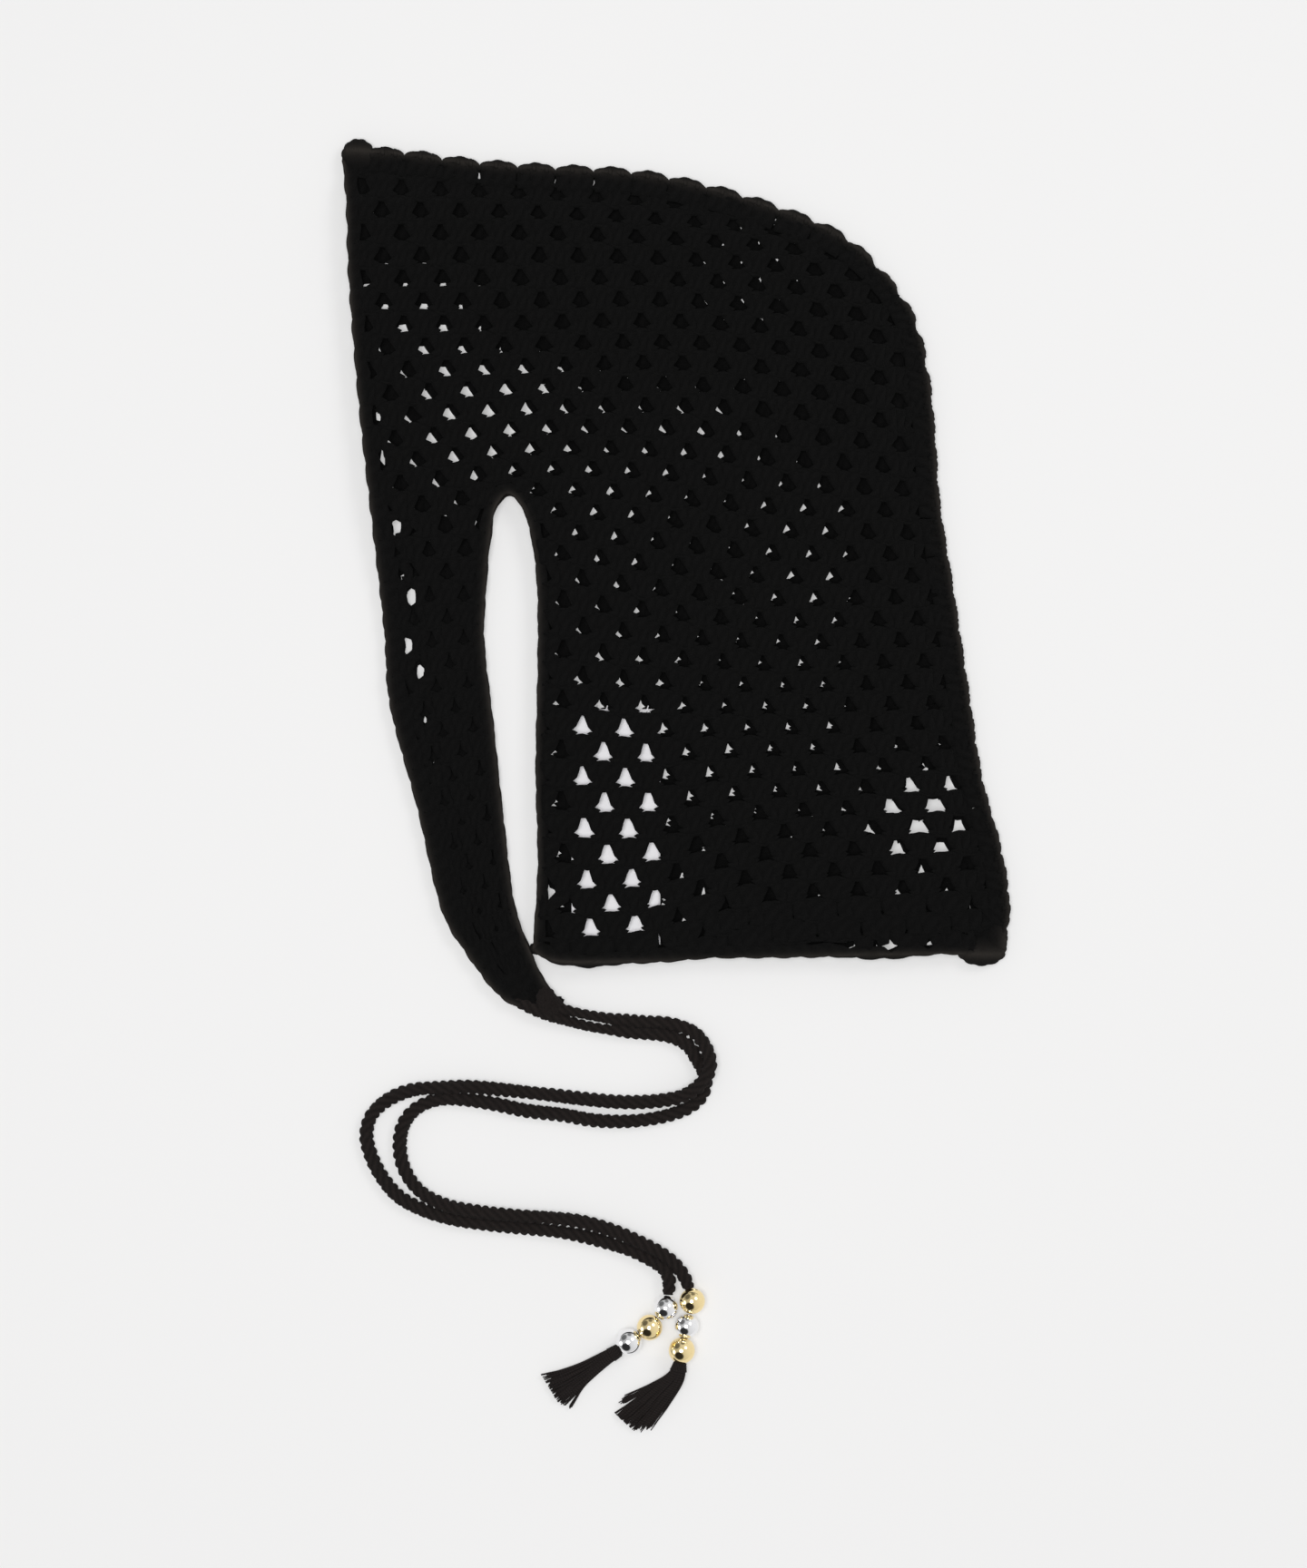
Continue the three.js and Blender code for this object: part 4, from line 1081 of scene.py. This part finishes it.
# Whip stitches: half ovals round the seam's edge, from the upper side over the edge to the lower side
def whipStitches():
    whip, rope = seam["whip"], seam["rope"]
    reach = distanceAlong(edgeLines["crown"])[-1]
    far = np.arange(4, reach - 4, whip["every"])[:, None]
    swing = np.linspace(-whip["swing"], whip["swing"], 13)[None] * np.pi
    inset = rope / 2 + whip["in"] + scallopDip(far) - (rope / 2 + whip["loose"]) * np.cos(swing)
    height = whip["middle"] + whip["high"] * np.sin(swing)
    plan = seamPlace(far + whip["lean"] * swing / np.pi, inset)
    path = np.concatenate([plan, np.broadcast_to(height, inset.shape)[..., None]], -1)
    ahead = seamPlace(far + 0.5, 0) - seamPlace(far - 0.5, 0)
    level = np.concatenate([ahead, np.zeros_like(ahead[..., :1])], -1)
    across, up = whip["thick"] * np.cos(ringAngles(6)), whip["thick"] * whip["flat"] * np.sin(ringAngles(6))
    return sweep(path, across[None, None], up[None, None], level)


makePiece("crownSeam", [*seamRopes(), *seamFans(), whipStitches()], "black_yarn", "crown_seam",
          paintedLightEdges=("crown",), paintedLightFade=1.2)
makePiece("seamKnots", [gatheredKnot(*knot) for knot in seam["knots"]], "black_yarn",
          paintedLightEdges=("crown", "hem"), paintedLightFade=2.4)
print("the seam is whipped together")

# The care label: a bare satin strip between the two sides, with folded ends, tacked on along its top
label = {"x": -27.9, "y": -116.0, "wide": 41.1, "long": 109.0, "low": 3.3, "high": 4.1, "thick": 0.32,
         "fold": 5.0, "foldMore": 0.9, "waves": [(0.09, 6.0, 11), (0.07, -13, 7)],
         "tack": {"count": 9, "reach": 0.46, "long": 3.2, "drift": 0.8, "thick": 0.3, "height": 3.8,
                  "arch": 0.5, "drop": 0.7}}


# Label surface: a flat section carried down its length, rising by small crossed waves, each of them
# height * sin(across / its width + down / its length)
def careLabel():
    top = label["y"] + label["long"] / 2
    down = np.linspace(0, label["long"], 72)
    middle = (label["low"] + label["high"]) / 2
    path = np.stack([np.full_like(down, label["x"]), top - down, np.full_like(down, middle)], 1)
    half = np.linspace(-1, 1, 26)
    across = np.concatenate([half[::-1], half]) * label["wide"] / 2
    inFold = (down < label["fold"]) | (down > label["long"] - label["fold"])
    folded = 1 + label["foldMore"] * inFold
    skin = np.repeat([1.0, -1.0], len(half)) * label["thick"] / 2
    ripple = sum(high * np.sin(across / wide + down[:, None] / long) for high, wide, long in label["waves"])
    up = skin * folded[:, None] + ripple
    patch = sweep(path[None], np.broadcast_to(across, up.shape)[None], up[None])
    return makePiece("careLabel", [patch], "label_satin", "care_label")


def labelTacks():
    tack = label["tack"]
    x = label["x"] + np.linspace(-tack["reach"], tack["reach"], tack["count"])[:, None] * label["wide"]
    way = np.linspace(0, 1, 7)[None]
    y = label["y"] + label["long"] / 2 - tack["long"] / 2 + tack["long"] * way
    z = tack["height"] + tack["arch"] * np.sin(np.pi * way) - tack["drop"] * way
    path = np.stack([x + tack["drift"] * way, y + 0 * x, z + 0 * x], -1)
    across, up = tack["thick"] * np.cos(ringAngles(6)), tack["thick"] * np.sin(ringAngles(6))
    return makePiece("labelTacks", [sweep(path, across[None, None], up[None, None])], "label_satin")


labelPiece, tacks = careLabel(), labelTacks()
